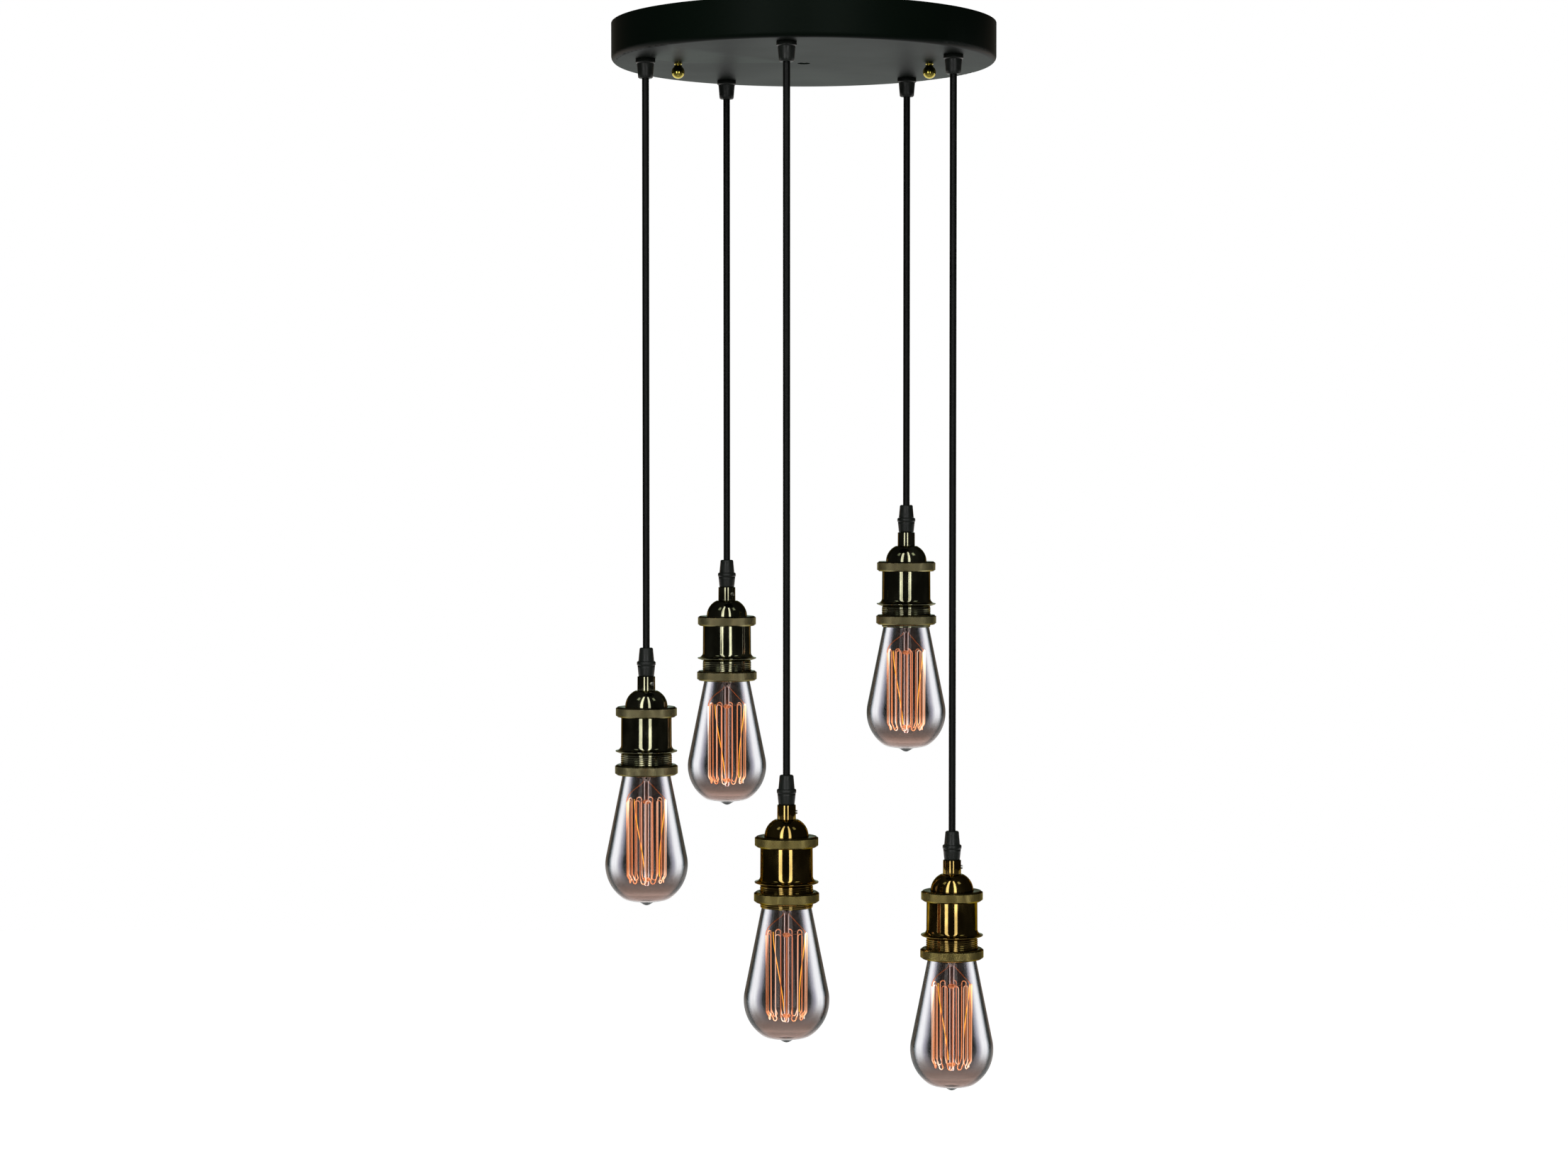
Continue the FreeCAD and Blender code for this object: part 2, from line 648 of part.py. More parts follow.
def holder_cap(screw_direction):
    """Ferrule and dome in one turned piece, with the set screw that bites on the grip."""
    ferrule = FERRULE_DIAMETER / 2
    bore = FERRULE_BORE / 2
    shoulder = DOME_SHOULDER / 2
    skirt = DOME_DIAMETER / 2
    wall = DOME_WALL
    flange = DOME_FLANGE_DIAMETER / 2
    # the dome's arc runs from the shoulder to meet the skirt upright at the ring's top
    step = skirt - shoulder
    dome = (step ** 2 + DOME_HEIGHT ** 2) / (2 * step)
    reach = dome * math.tan(math.asin(DOME_HEIGHT / dome) / 2)
    cap = turned([
        (bore, 0),
        (ferrule, 0, -EDGE_BREAK),
        (ferrule, -DOME_TOP),
        (shoulder, -DOME_TOP),
        (skirt, -RING_TOP + reach, dome),
        (skirt, -DOME_FLANGE_TOP),
        (flange, -DOME_FLANGE_TOP),
        (flange, -DOME_FLANGE_BOTTOM),
        (skirt - wall, -DOME_FLANGE_BOTTOM),
        (skirt - wall, -RING_TOP + wall),
        (skirt - 2 * wall, -RING_TOP + reach),
        (shoulder - wall, -DOME_TOP - wall),
        (bore, -DOME_TOP - wall),
    ])
    radius = SCREW_DIAMETER / 2
    height = -FERRULE_HEIGHT / 2
    outward = V(1, 0, 0)
    hole = Part.makeCylinder(radius + FIT, ferrule + 1, V(0, 0, height), outward)
    cap = cap.cut(hole)
    tip = BODY_THREAD / 2 + SEAT_GAP
    end = ferrule + SCREW_PROUD
    screw = Part.makeCylinder(radius, end - tip, V(tip, 0, height), outward)
    screw = screw.cut(Part.makeBox(
        2 * SCREW_SLOT, SCREW_DIAMETER, SCREW_SLOT,
        V(end - SCREW_SLOT, -radius, height - SCREW_SLOT / 2),
    ))
    return [solid.rotated(ORIGIN, UP, screw_direction) for solid in (cap, screw)]


def upper_ring():
    """The knurled ring that couples the dome to the barrel."""
    outside = UPPER_RING_DIAMETER / 2
    lip = DOME_DIAMETER / 2 + RUNNING
    bore = UPPER_RING_BORE / 2
    return turned([
        (lip, -RING_TOP),
        (outside, -RING_TOP, -RING_CORNER),
        (outside, -RING_BOTTOM, -RING_CORNER),
        (bore, -RING_BOTTOM),
        (bore, -RING_TOP - UPPER_RING_LIP),
        (lip, -RING_TOP - UPPER_RING_LIP),
    ])


def barrel():
    """The holder's body: a tube with the shade flange's trumpet and, below it, the thread."""
    outside = BARREL_DIAMETER / 2
    flange = FLANGE_DIAMETER / 2
    groove = GROOVE_DIAMETER / 2
    thread = THREAD_DIAMETER / 2
    bore = BARREL_BORE / 2
    ledge = LEDGE_BORE / 2
    mouth = MOUTH_BORE / 2
    ledge_top = CORE_END + SEAT_GAP
    ledge_end = ledge_top + LEDGE_HEIGHT
    return turned([
        (bore, -BARREL_TOP),
        (outside, -BARREL_TOP),
        (outside, -FLANGE_TOP, FLANGE_SWEEP),
        (flange, -FLANGE_TOP),
        (flange, -FLANGE_BOTTOM),
        (groove, -FLANGE_BOTTOM),
        (groove, -THREAD_TOP),
        (thread, -THREAD_TOP - (thread - groove)),
        (thread, -BARREL_END, -EDGE_BREAK / 2),
        (mouth, -BARREL_END),
        (mouth, -ledge_end - (mouth - ledge)),
        (ledge, -ledge_end),
        (ledge, -ledge_top),
        (bore, -ledge_top),
    ])


def socket_core():
    """The ceramic cup in the barrel, its threaded shell and its centre contact."""
    outside = CORE_DIAMETER / 2
    ceramic = turned([
        (FLEX_DIAMETER / 2, -CORE_TOP),
        (outside, -CORE_TOP),
        (outside, -CORE_END),
        (CORE_BORE, -CORE_END),
        (CORE_BORE, -CORE_FLOOR),
        (FLEX_DIAMETER / 2, -CORE_FLOOR),
    ])
    shell = turned([
        (SOCKET_BORE, -SOCKET_SHELL_TOP),
        (SOCKET_BORE + SOCKET_SHELL_WALL, -SOCKET_SHELL_TOP),
        (SOCKET_BORE + SOCKET_SHELL_WALL, -CORE_END),
        (SOCKET_BORE, -CORE_END),
    ])
    tab_top = -CORE_FLOOR - SEAT_GAP
    tab = Part.makeBox(
        2 * TAB_WIDTH, TAB_WIDTH, tab_top + CONTACT_TOP - RUNNING,
        V(-TAB_WIDTH, -TAB_WIDTH / 2, -CONTACT_TOP + RUNNING),
    )
    return [ceramic, shell, tab]


def lower_ring(lip):
    """The knurled shade ring on the barrel's thread, screwed up by the lip seen below it."""
    outside = LOWER_RING_DIAMETER / 2
    bore = LOWER_RING_BORE / 2
    low = -BARREL_END + lip
    top = low + LOWER_RING_HEIGHT
    return turned([
        (bore, low),
        (outside, low, -RING_CORNER),
        (outside, top, -RING_CORNER),
        (bore, top),
    ])


# ---------------------------------------------------------------------------------------
# Bulb: built on the Z axis with its tip at height 0 and its base up
# ---------------------------------------------------------------------------------------


def glass_line(inset):
    """One wall line of the bulb as edges, from its tip on the axis to the neck's open end."""
    ball = BULB_DIAMETER / 2 - inset
    middle = BULB_DIAMETER / 2
    lean = BULB_LEAN
    low = math.radians(BULB_LOW_TURN)
    neck = BULB_NECK / 2 - inset
    neck_end = BULB_GLASS_LENGTH + BULB_NECK_IN_BASE

    def on_ball(turn):
        return V(ball * math.sin(turn), 0, middle - ball * math.cos(turn))

    tip = V(0, 0, inset)
    blunt = V(BULB_TIP_BLUNT, 0, BULB_TIP_BLUNT * 0.15 + inset)
    rise_end = V(BULB_TIP_RADIUS, 0, BULB_TIP_RISE + inset)
    ball_end = math.pi / 2 + lean
    cone_start = on_ball(ball_end)
    shoulder = BULB_GLASS_LENGTH - BULB_SHOULDER_HEIGHT
    cone_end = V(cone_start.x - (shoulder - cone_start.z) * math.tan(lean), 0, shoulder)
    corners = [cone_start, cone_end, V(neck, 0, BULB_GLASS_LENGTH), V(neck, 0, neck_end)]
    return [
        Part.LineSegment(tip, blunt).toShape(),
        Part.LineSegment(blunt, rise_end).toShape(),
        Part.LineSegment(rise_end, on_ball(low)).toShape(),
        Part.Arc(on_ball(low), on_ball((low + ball_end) / 2), cone_start).toShape(),
    ] + rounded_edges(corners, [0] * len(corners), False)


def bulb_glass():
    """The blown envelope, open at the neck, with one thin wall."""
    neck_end = BULB_GLASS_LENGTH + BULB_NECK_IN_BASE
    outer = glass_line(0)
    inner = glass_line(BULB_WALL)
    rim = Part.LineSegment(
        V(BULB_NECK / 2, 0, neck_end), V(BULB_NECK / 2 - BULB_WALL, 0, neck_end)
    ).toShape()
    axis = Part.LineSegment(V(0, 0, BULB_WALL), V(0, 0, 0)).toShape()
    edges = outer + [rim] + inner[::-1] + [axis]
    outline = Part.Wire(Part.__sortEdges__(edges))
    return Part.Face(outline).revolve(ORIGIN, UP, 360)


def bulb_base():
    """The screw base's brass shell, its glass insulator and its centre contact."""
    outside = BASE_DIAMETER / 2
    shell_end = BULB_GLASS_LENGTH + BASE_SHELL_LENGTH
    cone_end = shell_end + BASE_CONE_LENGTH
    shell = turned([
        (outside, BULB_GLASS_LENGTH),
        (outside, shell_end, -EDGE_BREAK),
        (outside - 2 * BASE_WALL, shell_end),
        (outside - BASE_WALL, shell_end - BASE_WALL),
        (outside - BASE_WALL, BULB_GLASS_LENGTH),
    ])
    insulator = turned([
        (0, shell_end + SEAT_GAP),
        (outside - 2 * BASE_WALL, shell_end + SEAT_GAP),
        (BASE_CONE_END / 2, cone_end - SEAT_GAP),
        (0, cone_end - SEAT_GAP),
    ])
    contact = turned([
        (0, cone_end),
        (CONTACT_DIAMETER / 2, cone_end),
        (CONTACT_DIAMETER / 2, BULB_LENGTH, -EDGE_BREAK),
        (0, BULB_LENGTH),
    ])
    return [shell, insulator, contact]


def strand_places():
    """The cage's strands in plan, in order round it from the left, front half first."""
    count = 2 * (FRONT_HAIRPIN_COUNT + BACK_HAIRPIN_COUNT)
    radius = CAGE_DIAMETER / 2
    places = []
    for i in range(count):
        turn = math.radians(180 + 360.0 / count * (i + 0.5))
        places.append(V(radius * math.cos(turn), radius * math.sin(turn), 0))
    return places


def drawn_in(place):
    """Where a strand stands at the cage's bottom."""
    return place * (1 - 2 * CAGE_DRAW_IN / CAGE_DIAMETER)


def cage_half(places):
    """One unbroken wire: down a strand, round a hairpin, up the next, and so on. Each hairpin
    is half an octagon, which is as round as so thin a wire shows."""
    bend = places[0].distanceToPoint(places[1]) / 2
    corner = bend * (1 - math.tan(math.radians(22.5)))
    points = [places[0] + UP * (CAGE_TOP - bend)]
    for i in range(len(places) - 1):
        at_bottom = i % 2 == 0
        crown, into = (CAGE_BOTTOM, 1) if at_bottom else (CAGE_TOP, -1)
        near, far = places[i], places[i + 1]
        if at_bottom:
            points.append(near + UP * (CAGE_BOTTOM + CAGE_DRAW_HEIGHT))
            near, far = drawn_in(near), drawn_in(far)
        step = (far - near).normalize() * corner
        points += [
            near + UP * (crown + into * corner),
            near + step + UP * crown,
            far - step + UP * crown,
            far + UP * (crown + into * corner),
        ]
        if at_bottom:
            points.append(places[i + 1] + UP * (CAGE_BOTTOM + CAGE_DRAW_HEIGHT))
    points.append(places[-1] + UP * (CAGE_TOP - bend))
    path = Part.makePolygon(points)
    outward = V(places[0]).normalize()
    section = square_section(points[0], outward, outward.cross(UP), CAGE_WIRE)
    return path, path.makePipeShell([section], True, False, 1)


def least_gap(path, wire, apart):
    """Least gap of a wire to itself, between points further along it than apart."""
    step = wire
    count = int(path.Length / step)
    points = path.discretize(Number=count)
    skip = int(apart / step)
    least = min(
        points[i].distanceToPoint(points[j])
        for i in range(0, count, 2)
        for j in range(i + skip, count)
    )
    return least - wire


def hook_star(height, places, ends_at):
    """A glass button on the stem with a wire hook under or over each bend of the cage."""
    star = rod(BUTTON_DIAMETER / 2, height - BUTTON_HEIGHT / 2, height + BUTTON_HEIGHT / 2)
    root = BUTTON_DIAMETER / 2 - HOOK_WIRE
    for place in places:
        outward = V(place.x, place.y, 0).normalize()
        start = outward * root + UP * height
        stop = place + UP * ends_at
        along = (stop - start).normalize()
        side = along.cross(UP).normalize()
        section = Part.Face(square_section(start, side, side.cross(along), HOOK_WIRE))
        star = star.fuse(section.extrude(stop - start))
    return star


def bulb_mount_stem():
    """The glass stem: a flare sealed to the neck, the pinch, and the rod down to the hub."""
    flare = BULB_NECK / 2 - BULB_WALL - SEAT_GAP
    rod_radius = STEM_DIAMETER / 2
    pinch_top = PINCH_BOTTOM + PINCH_HEIGHT
    flare_top = BULB_GLASS_LENGTH + BULB_NECK_IN_BASE
    flare_body = turned([
        (0, pinch_top - 2.0),
        (rod_radius + FLARE_WALL, pinch_top - 2.0),
        (rod_radius + 2 * FLARE_WALL, pinch_top + 3.0),
        (flare, flare_top - FLARE_WALL),
        (flare, flare_top),
        (rod_radius + FLARE_WALL, pinch_top + 4.0),
        (0, pinch_top + 4.0),
    ])
    pinch = Part.makeBox(
        PINCH_WIDTH, PINCH_THICKNESS, PINCH_HEIGHT,
        V(-PINCH_WIDTH / 2, -PINCH_THICKNESS / 2, PINCH_BOTTOM),
    )
    stem = rod(rod_radius, STEM_BOTTOM, PINCH_BOTTOM + 1)
    places = strand_places()
    split = 2 * FRONT_HAIRPIN_COUNT
    halves = (places[:split], places[split:])
    bend = places[0].distanceToPoint(places[1]) / 2
    low_bends = [(half[i] + half[i + 1]) * 0.5 for half in halves for i in range(0, len(half), 2)]
    high_bends = [
        (half[i] + half[i + 1]) * 0.5 for half in halves for i in range(1, len(half) - 1, 2)
    ]
    inside = CAGE_WIRE / 2 + HOOK_WIRE / 2 + SEAT_GAP
    top_star = hook_star(CAGE_TOP - bend, high_bends, CAGE_TOP - inside)
    low_bends = [drawn_in(place) for place in low_bends]
    low_star = hook_star(CAGE_BOTTOM + bend, low_bends, CAGE_BOTTOM + inside)
    return flare_body.fuse([pinch, stem, top_star, low_star]).removeSplitter()


def lead_wires(places):
    """The two leads from the pinch, each ending in the clamp that grips both half cages."""
    bend = places[0].distanceToPoint(places[1]) / 2
    clamp_low = CAGE_TOP - bend + SEAT_GAP
    clamp_length = 2 * bend + 2 * CAGE_WIRE
    split = 2 * FRONT_HAIRPIN_COUNT
    root = PINCH_WIDTH / 2 - LEAD_WIRE
    pinch_end = PINCH_BOTTOM - SEAT_GAP
    solids = []
    for side, pair in ((-1, (places[0], places[-1])), (1, (places[split - 1], places[split]))):
        middle = (pair[0] + pair[1]) * 0.5
        outward = V(middle).normalize()
        reach = middle * LEAD_SWING[side]
        points = [
            V(side * root, 0, pinch_end),
            V(side * root, 0, pinch_end - LEAD_DROP[side]),
            V(reach.x, reach.y, clamp_low + LEAD_RISE[side]),
            middle + UP * (clamp_low + CLAMP_HEIGHT / 2),
        ]
        section = wire_section(points[0], LEAD_WIRE / 2)
        wire, length = swept(points, [0, *LEAD_BENDS[side], 0], section)
        clamp = Part.makeBox(
            CLAMP_WIDTH, clamp_length, CLAMP_HEIGHT,
            V(middle.Length - CLAMP_WIDTH / 2, -clamp_length / 2, clamp_low),
        )
        clamp = clamp.rotated(ORIGIN, UP, math.degrees(math.atan2(outward.y, outward.x)))
        solids.append(clamp.fuse(wire))
    return solids


def bulb_mount():
    """Everything in the bulb but its envelope: base, stem, filament cage and lead wires."""
    places = strand_places()
    split = 2 * FRONT_HAIRPIN_COUNT
    halves = []
    for name, strands in (("front", places[:split]), ("back", places[split:])):
        path, wire = cage_half(strands)
        bend = strands[0].distanceToPoint(strands[1]) / 2
        gap = least_gap(path, CAGE_WIRE, math.pi * bend)
        ideal = path.Length * CAGE_WIRE ** 2
        print("cage,", name, "half: least gap", round(gap, 2), "mm, volume over section times",
              "length", round(wire.Volume / ideal, 4))
        halves.append(wire)
    return bulb_base() + [bulb_mount_stem()] + halves + lead_wires(places)


# ---------------------------------------------------------------------------------------
# The whole light
# ---------------------------------------------------------------------------------------


def build():
    os.makedirs("parts", exist_ok=True)
    save("canopy_pan", canopy_pan())
    save("crossbar", crossbar())
    save("crossbar_studs", *crossbar_studs())
    save("cap_nuts", *cap_nuts())
    save("earth_screw", earth_screw())
    save("canopy_grips", *canopy_grips())
    save("grip_locknuts", *grip_locknuts())
    save("terminal_block", terminal_block())
    save("inner_leads", *inner_leads())

    grip = holder_grip()
    ring = upper_ring()
    body = barrel()
    core = socket_core()
    glass = bulb_glass()
    mount = bulb_mount()
    for name, index, length, lip, screw_direction in PENDANTS:
        pivot = grip_place(index) + UP * PIVOT_Z
        ferrule_top = pivot - UP * (length + HOLDER_GRIP_LENGTH)
        bulb_tip = ferrule_top - UP * BULB_TIP
        pieces = (
            ("flex_bend", [flex_bend()], pivot),
            ("flex", [flex(length)], pivot),
            ("holder_grip", grip, ferrule_top),
            ("holder_cap", holder_cap(screw_direction), ferrule_top),
            ("upper_ring", [ring], ferrule_top),
            ("barrel", [body], ferrule_top),
            ("socket_core", core, ferrule_top),
            ("lower_ring", [lower_ring(lip)], ferrule_top),
            ("bulb_glass", [glass], bulb_tip),
            ("bulb_mount", mount, bulb_tip),
        )
        for piece, solids, place in pieces:
            save(piece + "_" + name, *[solid.translated(place) for solid in solids])


build()
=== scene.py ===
"""The looks of a cluster pendant: a black ceiling canopy, five black flexes, turned brass lamp
holders and squirrel-cage filament bulbs. Metres, +Z up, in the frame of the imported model."""
import json
import math

import bmesh
import bpy
from mathutils import Matrix, Vector
from mathutils.geometry import interpolate_bezier

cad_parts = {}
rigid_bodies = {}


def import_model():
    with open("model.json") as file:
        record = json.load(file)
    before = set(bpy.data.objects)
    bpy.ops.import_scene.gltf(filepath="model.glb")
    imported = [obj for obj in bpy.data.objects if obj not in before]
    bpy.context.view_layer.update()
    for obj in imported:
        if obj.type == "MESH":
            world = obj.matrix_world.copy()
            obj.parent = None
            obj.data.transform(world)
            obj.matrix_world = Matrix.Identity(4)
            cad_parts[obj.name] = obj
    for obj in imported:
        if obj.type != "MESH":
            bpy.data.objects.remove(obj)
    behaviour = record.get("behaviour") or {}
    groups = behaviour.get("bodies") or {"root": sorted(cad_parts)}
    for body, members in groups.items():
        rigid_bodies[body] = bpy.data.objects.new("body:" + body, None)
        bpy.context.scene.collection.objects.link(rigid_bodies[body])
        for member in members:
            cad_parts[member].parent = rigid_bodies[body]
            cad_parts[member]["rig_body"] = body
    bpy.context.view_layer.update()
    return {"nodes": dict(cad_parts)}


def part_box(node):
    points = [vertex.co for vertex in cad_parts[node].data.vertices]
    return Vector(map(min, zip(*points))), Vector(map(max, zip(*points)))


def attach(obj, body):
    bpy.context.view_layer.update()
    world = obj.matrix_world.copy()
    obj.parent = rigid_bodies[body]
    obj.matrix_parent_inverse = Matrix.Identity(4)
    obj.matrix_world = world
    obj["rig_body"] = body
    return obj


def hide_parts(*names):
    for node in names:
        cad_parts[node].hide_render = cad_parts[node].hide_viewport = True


bl_info = {
    "name": "Cluster pendant",
    "version": (1, 0, 0),
    "blender": (4, 5, 0),
    "location": "View3D > Sidebar > Pendant",
    "description": "Dresses a cluster pendant with five lamp holders and filament bulbs",
    "category": "Object",
}

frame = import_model()

MM = 0.001
TURN = 2 * math.pi
WELD = 0.002 * MM               # corners this close are one
UP = Vector((0, 0, 1))
WHITE = (1.0, 1.0, 1.0)
PENDANTS = ("front", "right", "back_right", "back_left", "left")
GOLDEN = ("front", "right")     # their brass is less dark than the others'

# how far each feature of a lamp holder lies below its ferrule's top, and its radius, in mm
RING_TOP, RING_BOTTOM, RING_LIP = 23.5, 31.5, 1.5
BARREL_TOP, FLANGE_TOP, FLANGE_BOTTOM = 26.8, 57.5, 58.3
THREAD_TOP, BARREL_END = 60.1, 76.8
LEDGE_TOP, LEDGE_BOTTOM = 60.6, 62.1
DOME_RADIUS, BARREL_RADIUS, BARREL_BORE = 16.5, 19.75, 17.5
FLANGE_RADIUS, FLANGE_SWEEP, GROOVE_RADIUS = 24.0, 4.1, 19.25
THREAD_RADIUS, MOUTH_BORE, LEDGE_BORE = 20.0, 18.9, 15.0
UPPER_RING_BORE, LOWER_RING_BORE, RING_CORNER = 20.05, 20.3, 1.3
RUNNING = 0.3
FERRULE_RADIUS, FERRULE_BORE, DOME_TOP, DOME_SKIRT = 7.0, 4.2, 11.0, 25.1
DOME_ARC, DOME_STEPS, DOME_WALL, CAP_ROOF, CAP_FLANGE = 13.77, 14, 1.3, 1.6, 19.5
SCREW_RADIUS, SCREW_START, SCREW_LENGTH, SCREW_DEPTH = 1.5, 5.2, 3.0, 5.5
SCREW_SLOT, SCREW_SLOT_DEPTH, SCREW_EDGE = 0.7, 0.6, 0.25
SCREW_TURNS = {"front": 0, "right": 0, "back_right": 120, "back_left": -50, "left": -50}

# bulb, heights above its tip, in mm
BALL = 32.1
BALL_FROM = math.radians(35)    # round the ball from its lowest point, where the tip's curve ends
LEAN = math.radians(11.5)
GLASS_LENGTH, NECK_END, NECK_RADIUS, SHOULDER = 113.0, 118.0, 12.4, 106.0
BASE_RADIUS, SHELL_END, CONE_END, CONTACT_END = 13.1, 135.0, 138.3, 140.0
CAGE_RADIUS, CAGE_BOTTOM, CAGE_TOP = 15.5, 18.0, 83.0
CAGE_DRAW_HEIGHT, CAGE_DRAW_IN = 6.5, 2.2
LEAN_STEPS, LEAN_CURVE, HAIRPIN_STEPS = 4, 1.6, 8
HOOK_ROOT, HOOK_CURL, HOOK_GAP = 1.6, 0.5, 0.6
LEAD_ROOT, LEAD_ABOVE_PINCH = 2.2, 1.5
HAIRPINS_FRONT, HAIRPINS_BACK = 6, 5
STEM_RADIUS, STEM_BOTTOM, PINCH_BOTTOM, PINCH_TOP = 1.9, 15.0, 96.0, 106.6
BUTTON_FROM_END, BEAD_RADIUS = 2.2, 0.75
# the two slanting golden strands, each as its ends and the handles between them
GOLDEN_STRANDS = (
    ((-10.1, 11.7, 81.5), (-9.8, 11.8, 64.0), (-4.0, 14.9, 46.0), (-1.8, 14.6, 21.0)),
    ((14.1, 6.4, 81.0), (13.2, 8.0, 62.0), (9.0, 12.4, 50.0), (9.6, 12.0, 21.0)),
)


# ---- Sizes and colours that a user would change ----


def length(name, description, millimetres):
    return bpy.props.FloatProperty(
        name=name, description=description, default=millimetres * MM, subtype="DISTANCE",
        unit="LENGTH")


class PendantSizes(bpy.types.PropertyGroup):
    """Fine detail of the turned pieces and the bulbs."""

    knurl_count: bpy.props.IntProperty(
        name="Knurls round a ring", description="Diamonds round a knurled ring", default=136)
    knurl_rows: bpy.props.IntProperty(
        name="Rows of knurls", description="Staggered rows on a ring", default=11)
    knurl_depth: length("Knurl depth", "Height of a diamond", 0.24)
    thread_pitch: length("Shade thread pitch", "Rise of the shade ring's thread in one turn", 1.5)
    thread_depth: length("Shade thread depth", "Crest above root", 0.45)
    base_pitch: length("Bulb thread pitch", "Rise of the bulb's thread in one turn", 3.6)
    wire_diameter: length("Filament", "Diameter of a filament strand", 0.75)
    wall: length("Glass wall", "Thickness of a bulb's glass", 0.8)


def colour(name, description, default):
    return bpy.props.FloatVectorProperty(
        name=name, description=description, default=default, subtype="COLOR", min=0, max=1)


class PendantColours(bpy.types.PropertyGroup):
    """Colours of the finishes, linear."""

    paint: colour("Canopy paint", "Black satin paint", (0.0014, 0.0030, 0.0018))
    cable: colour("Flex", "Sheath of the flexes", (0.0035, 0.0040, 0.0035))
    plastic: colour("Cord grips", "Black moulded plastic", (0.0070, 0.0085, 0.0070))
    brass: colour("Antique brass", "Dark brass of three holders", (0.31, 0.305, 0.200))
    golden_brass: colour("Golden brass", "Brass of the other two", (0.38, 0.265, 0.085))
    cap_nut: colour("Cap nuts", "Polished brass", (0.60, 0.50, 0.10))
    # the glass's own pale tint; the bulb glass paints reflections and shade over it
    glass: colour("Bulb glass", "Smoke of the glass", (0.89, 0.89, 0.92))
    filament: colour("Filament", "Glow of the filament", (1.0, 0.36, 0.13))


def sizes():
    return bpy.context.scene.pendant_sizes


def colours():
    return bpy.context.scene.pendant_colours


# ---- Node trees ----


def feed(tree, socket, value):
    """Links a Value to a socket, or sets the socket to a plain value."""
    if isinstance(value, Value):
        tree.links.new(value.socket, socket)
    elif socket.type == "RGBA" and len(value) == 3:
        socket.default_value = (*value, 1.0)
    else:
        socket.default_value = value


class Value:
    """A socket's output. Arithmetic on it adds Math nodes."""

    def __init__(self, tree, socket):
        self.tree = tree
        self.socket = socket

    def math(self, operation, *others, swap=False):
        node = self.tree.nodes.new("ShaderNodeMath")
        node.operation = operation
        terms = (*others, self) if swap else (self, *others)
        for socket, term in zip(node.inputs, terms):
            feed(self.tree, socket, term)
        return Value(self.tree, node.outputs[0])

    def __add__(self, other):
        return self.math("ADD", other)

    def __sub__(self, other):
        return self.math("SUBTRACT", other)

    def __rsub__(self, other):
        return self.math("SUBTRACT", other, swap=True)

    def __mul__(self, other):
        return self.math("MULTIPLY", other)

    def __truediv__(self, other):
        return self.math("DIVIDE", other)

    __radd__ = __add__
    __rmul__ = __mul__


class Tree:
    """Adds nodes to a node tree."""

    def __init__(self, tree):
        self.tree = tree

    def node(self, kind, settings=None, values=None, out=0):
        """A node of that type with its settings and its sockets' values, as its output."""
        made = self.tree.nodes.new(kind)
        for key, value in (settings or {}).items():
            setattr(made, key, value)
        for key, value in (values or {}).items():
            feed(self.tree, made.inputs[key], value)
        return Value(self.tree, made.outputs[out]) if made.outputs else made

    def mix(self, factor, first, second):
        return self.node(
            "ShaderNodeMix", {"data_type": "RGBA"}, {0: factor, 6: first, 7: second}, out=2)

    def ramp(self, factor, stops):
        """A colour ramp with (place, colour) stops."""
        made = self.tree.nodes.new("ShaderNodeValToRGB")
        feed(self.tree, made.inputs[0], factor)
        stretch = made.color_ramp.elements
        for i, (place, tint) in enumerate(stops):
            stop = stretch[i] if i < 2 else stretch.new(place)
            stop.position = place
            stop.color = (*tint, 1.0)
        return Value(self.tree, made.outputs[0])

    def step(self, value, low, high, to_low=0.0, to_high=1.0):
        return self.node("ShaderNodeMapRange", {"interpolation_type": "SMOOTHSTEP"}, {
            "Value": value, "From Min": low, "From Max": high, "To Min": to_low, "To Max": to_high})

    def place(self):
        return self.node("ShaderNodeTexCoord", out="Object")

    def axes(self, vector):
        node = self.tree.nodes.new("ShaderNodeSeparateXYZ")
        feed(self.tree, node.inputs[0], vector)
        return [Value(self.tree, socket) for socket in node.outputs]

    def vector(self, x, y, z):
        return self.node("ShaderNodeCombineXYZ", values={"X": x, "Y": y, "Z": z})

    def noise(self, scale, detail=3.0, stretch=(1.0, 1.0, 1.0), roughness=0.5):
        place = self.node("ShaderNodeMapping", values={"Vector": self.place(), "Scale": stretch})
        return self.node("ShaderNodeTexNoise", values={
            "Vector": place, "Scale": scale, "Detail": detail, "Roughness": roughness})

    def attribute(self, name):
        """A number stored on the mesh."""
        return self.node("ShaderNodeAttribute", {"attribute_name": name}, out="Fac")

    def slant(self):
        """How far the surface turns away from the ray that meets it."""
        return self.node("ShaderNodeLayerWeight", values={"Blend": 0.5}, out="Facing")

    def bump(self, height, strength, distance):
        return self.node("ShaderNodeBump", values={
            "Height": height, "Strength": strength, "Distance": distance})


def empty_material(name):
    """A material without nodes, and its tree."""
    material = bpy.data.materials.new(name)
    material.use_nodes = True
    material.node_tree.nodes.clear()
    return material, Tree(material.node_tree)


def surface(name, values, build=None, rim=None):
    """A Principled material with plain socket values, and others that build works out.

    rim gives how much of a dark, dull edge, painted shade, replaces it at each point.
    """
    material, tree = empty_material(name)
    values = dict(values)
    if build:
        values.update(build(tree))
    shader = tree.node("ShaderNodeBsdfPrincipled", values=values)
    if rim:
        edge = tree.node("ShaderNodeBsdfPrincipled", values={
            "Base Color": PAINTED_RIM_COLOUR, "Roughness": 0.35, "Specular IOR Level": 0.15})
        shader = tree.node("ShaderNodeMixShader", values={0: rim(tree), 1: shader, 2: edge})
    tree.node("ShaderNodeOutputMaterial", values={"Surface": shader})
    return material


# ---- Finishes ----

finishes = {}
# colour of the painted dark edge on the bulb glass, painted shade
PAINTED_RIM_COLOUR = (0.020, 0.034, 0.032, 1.0)


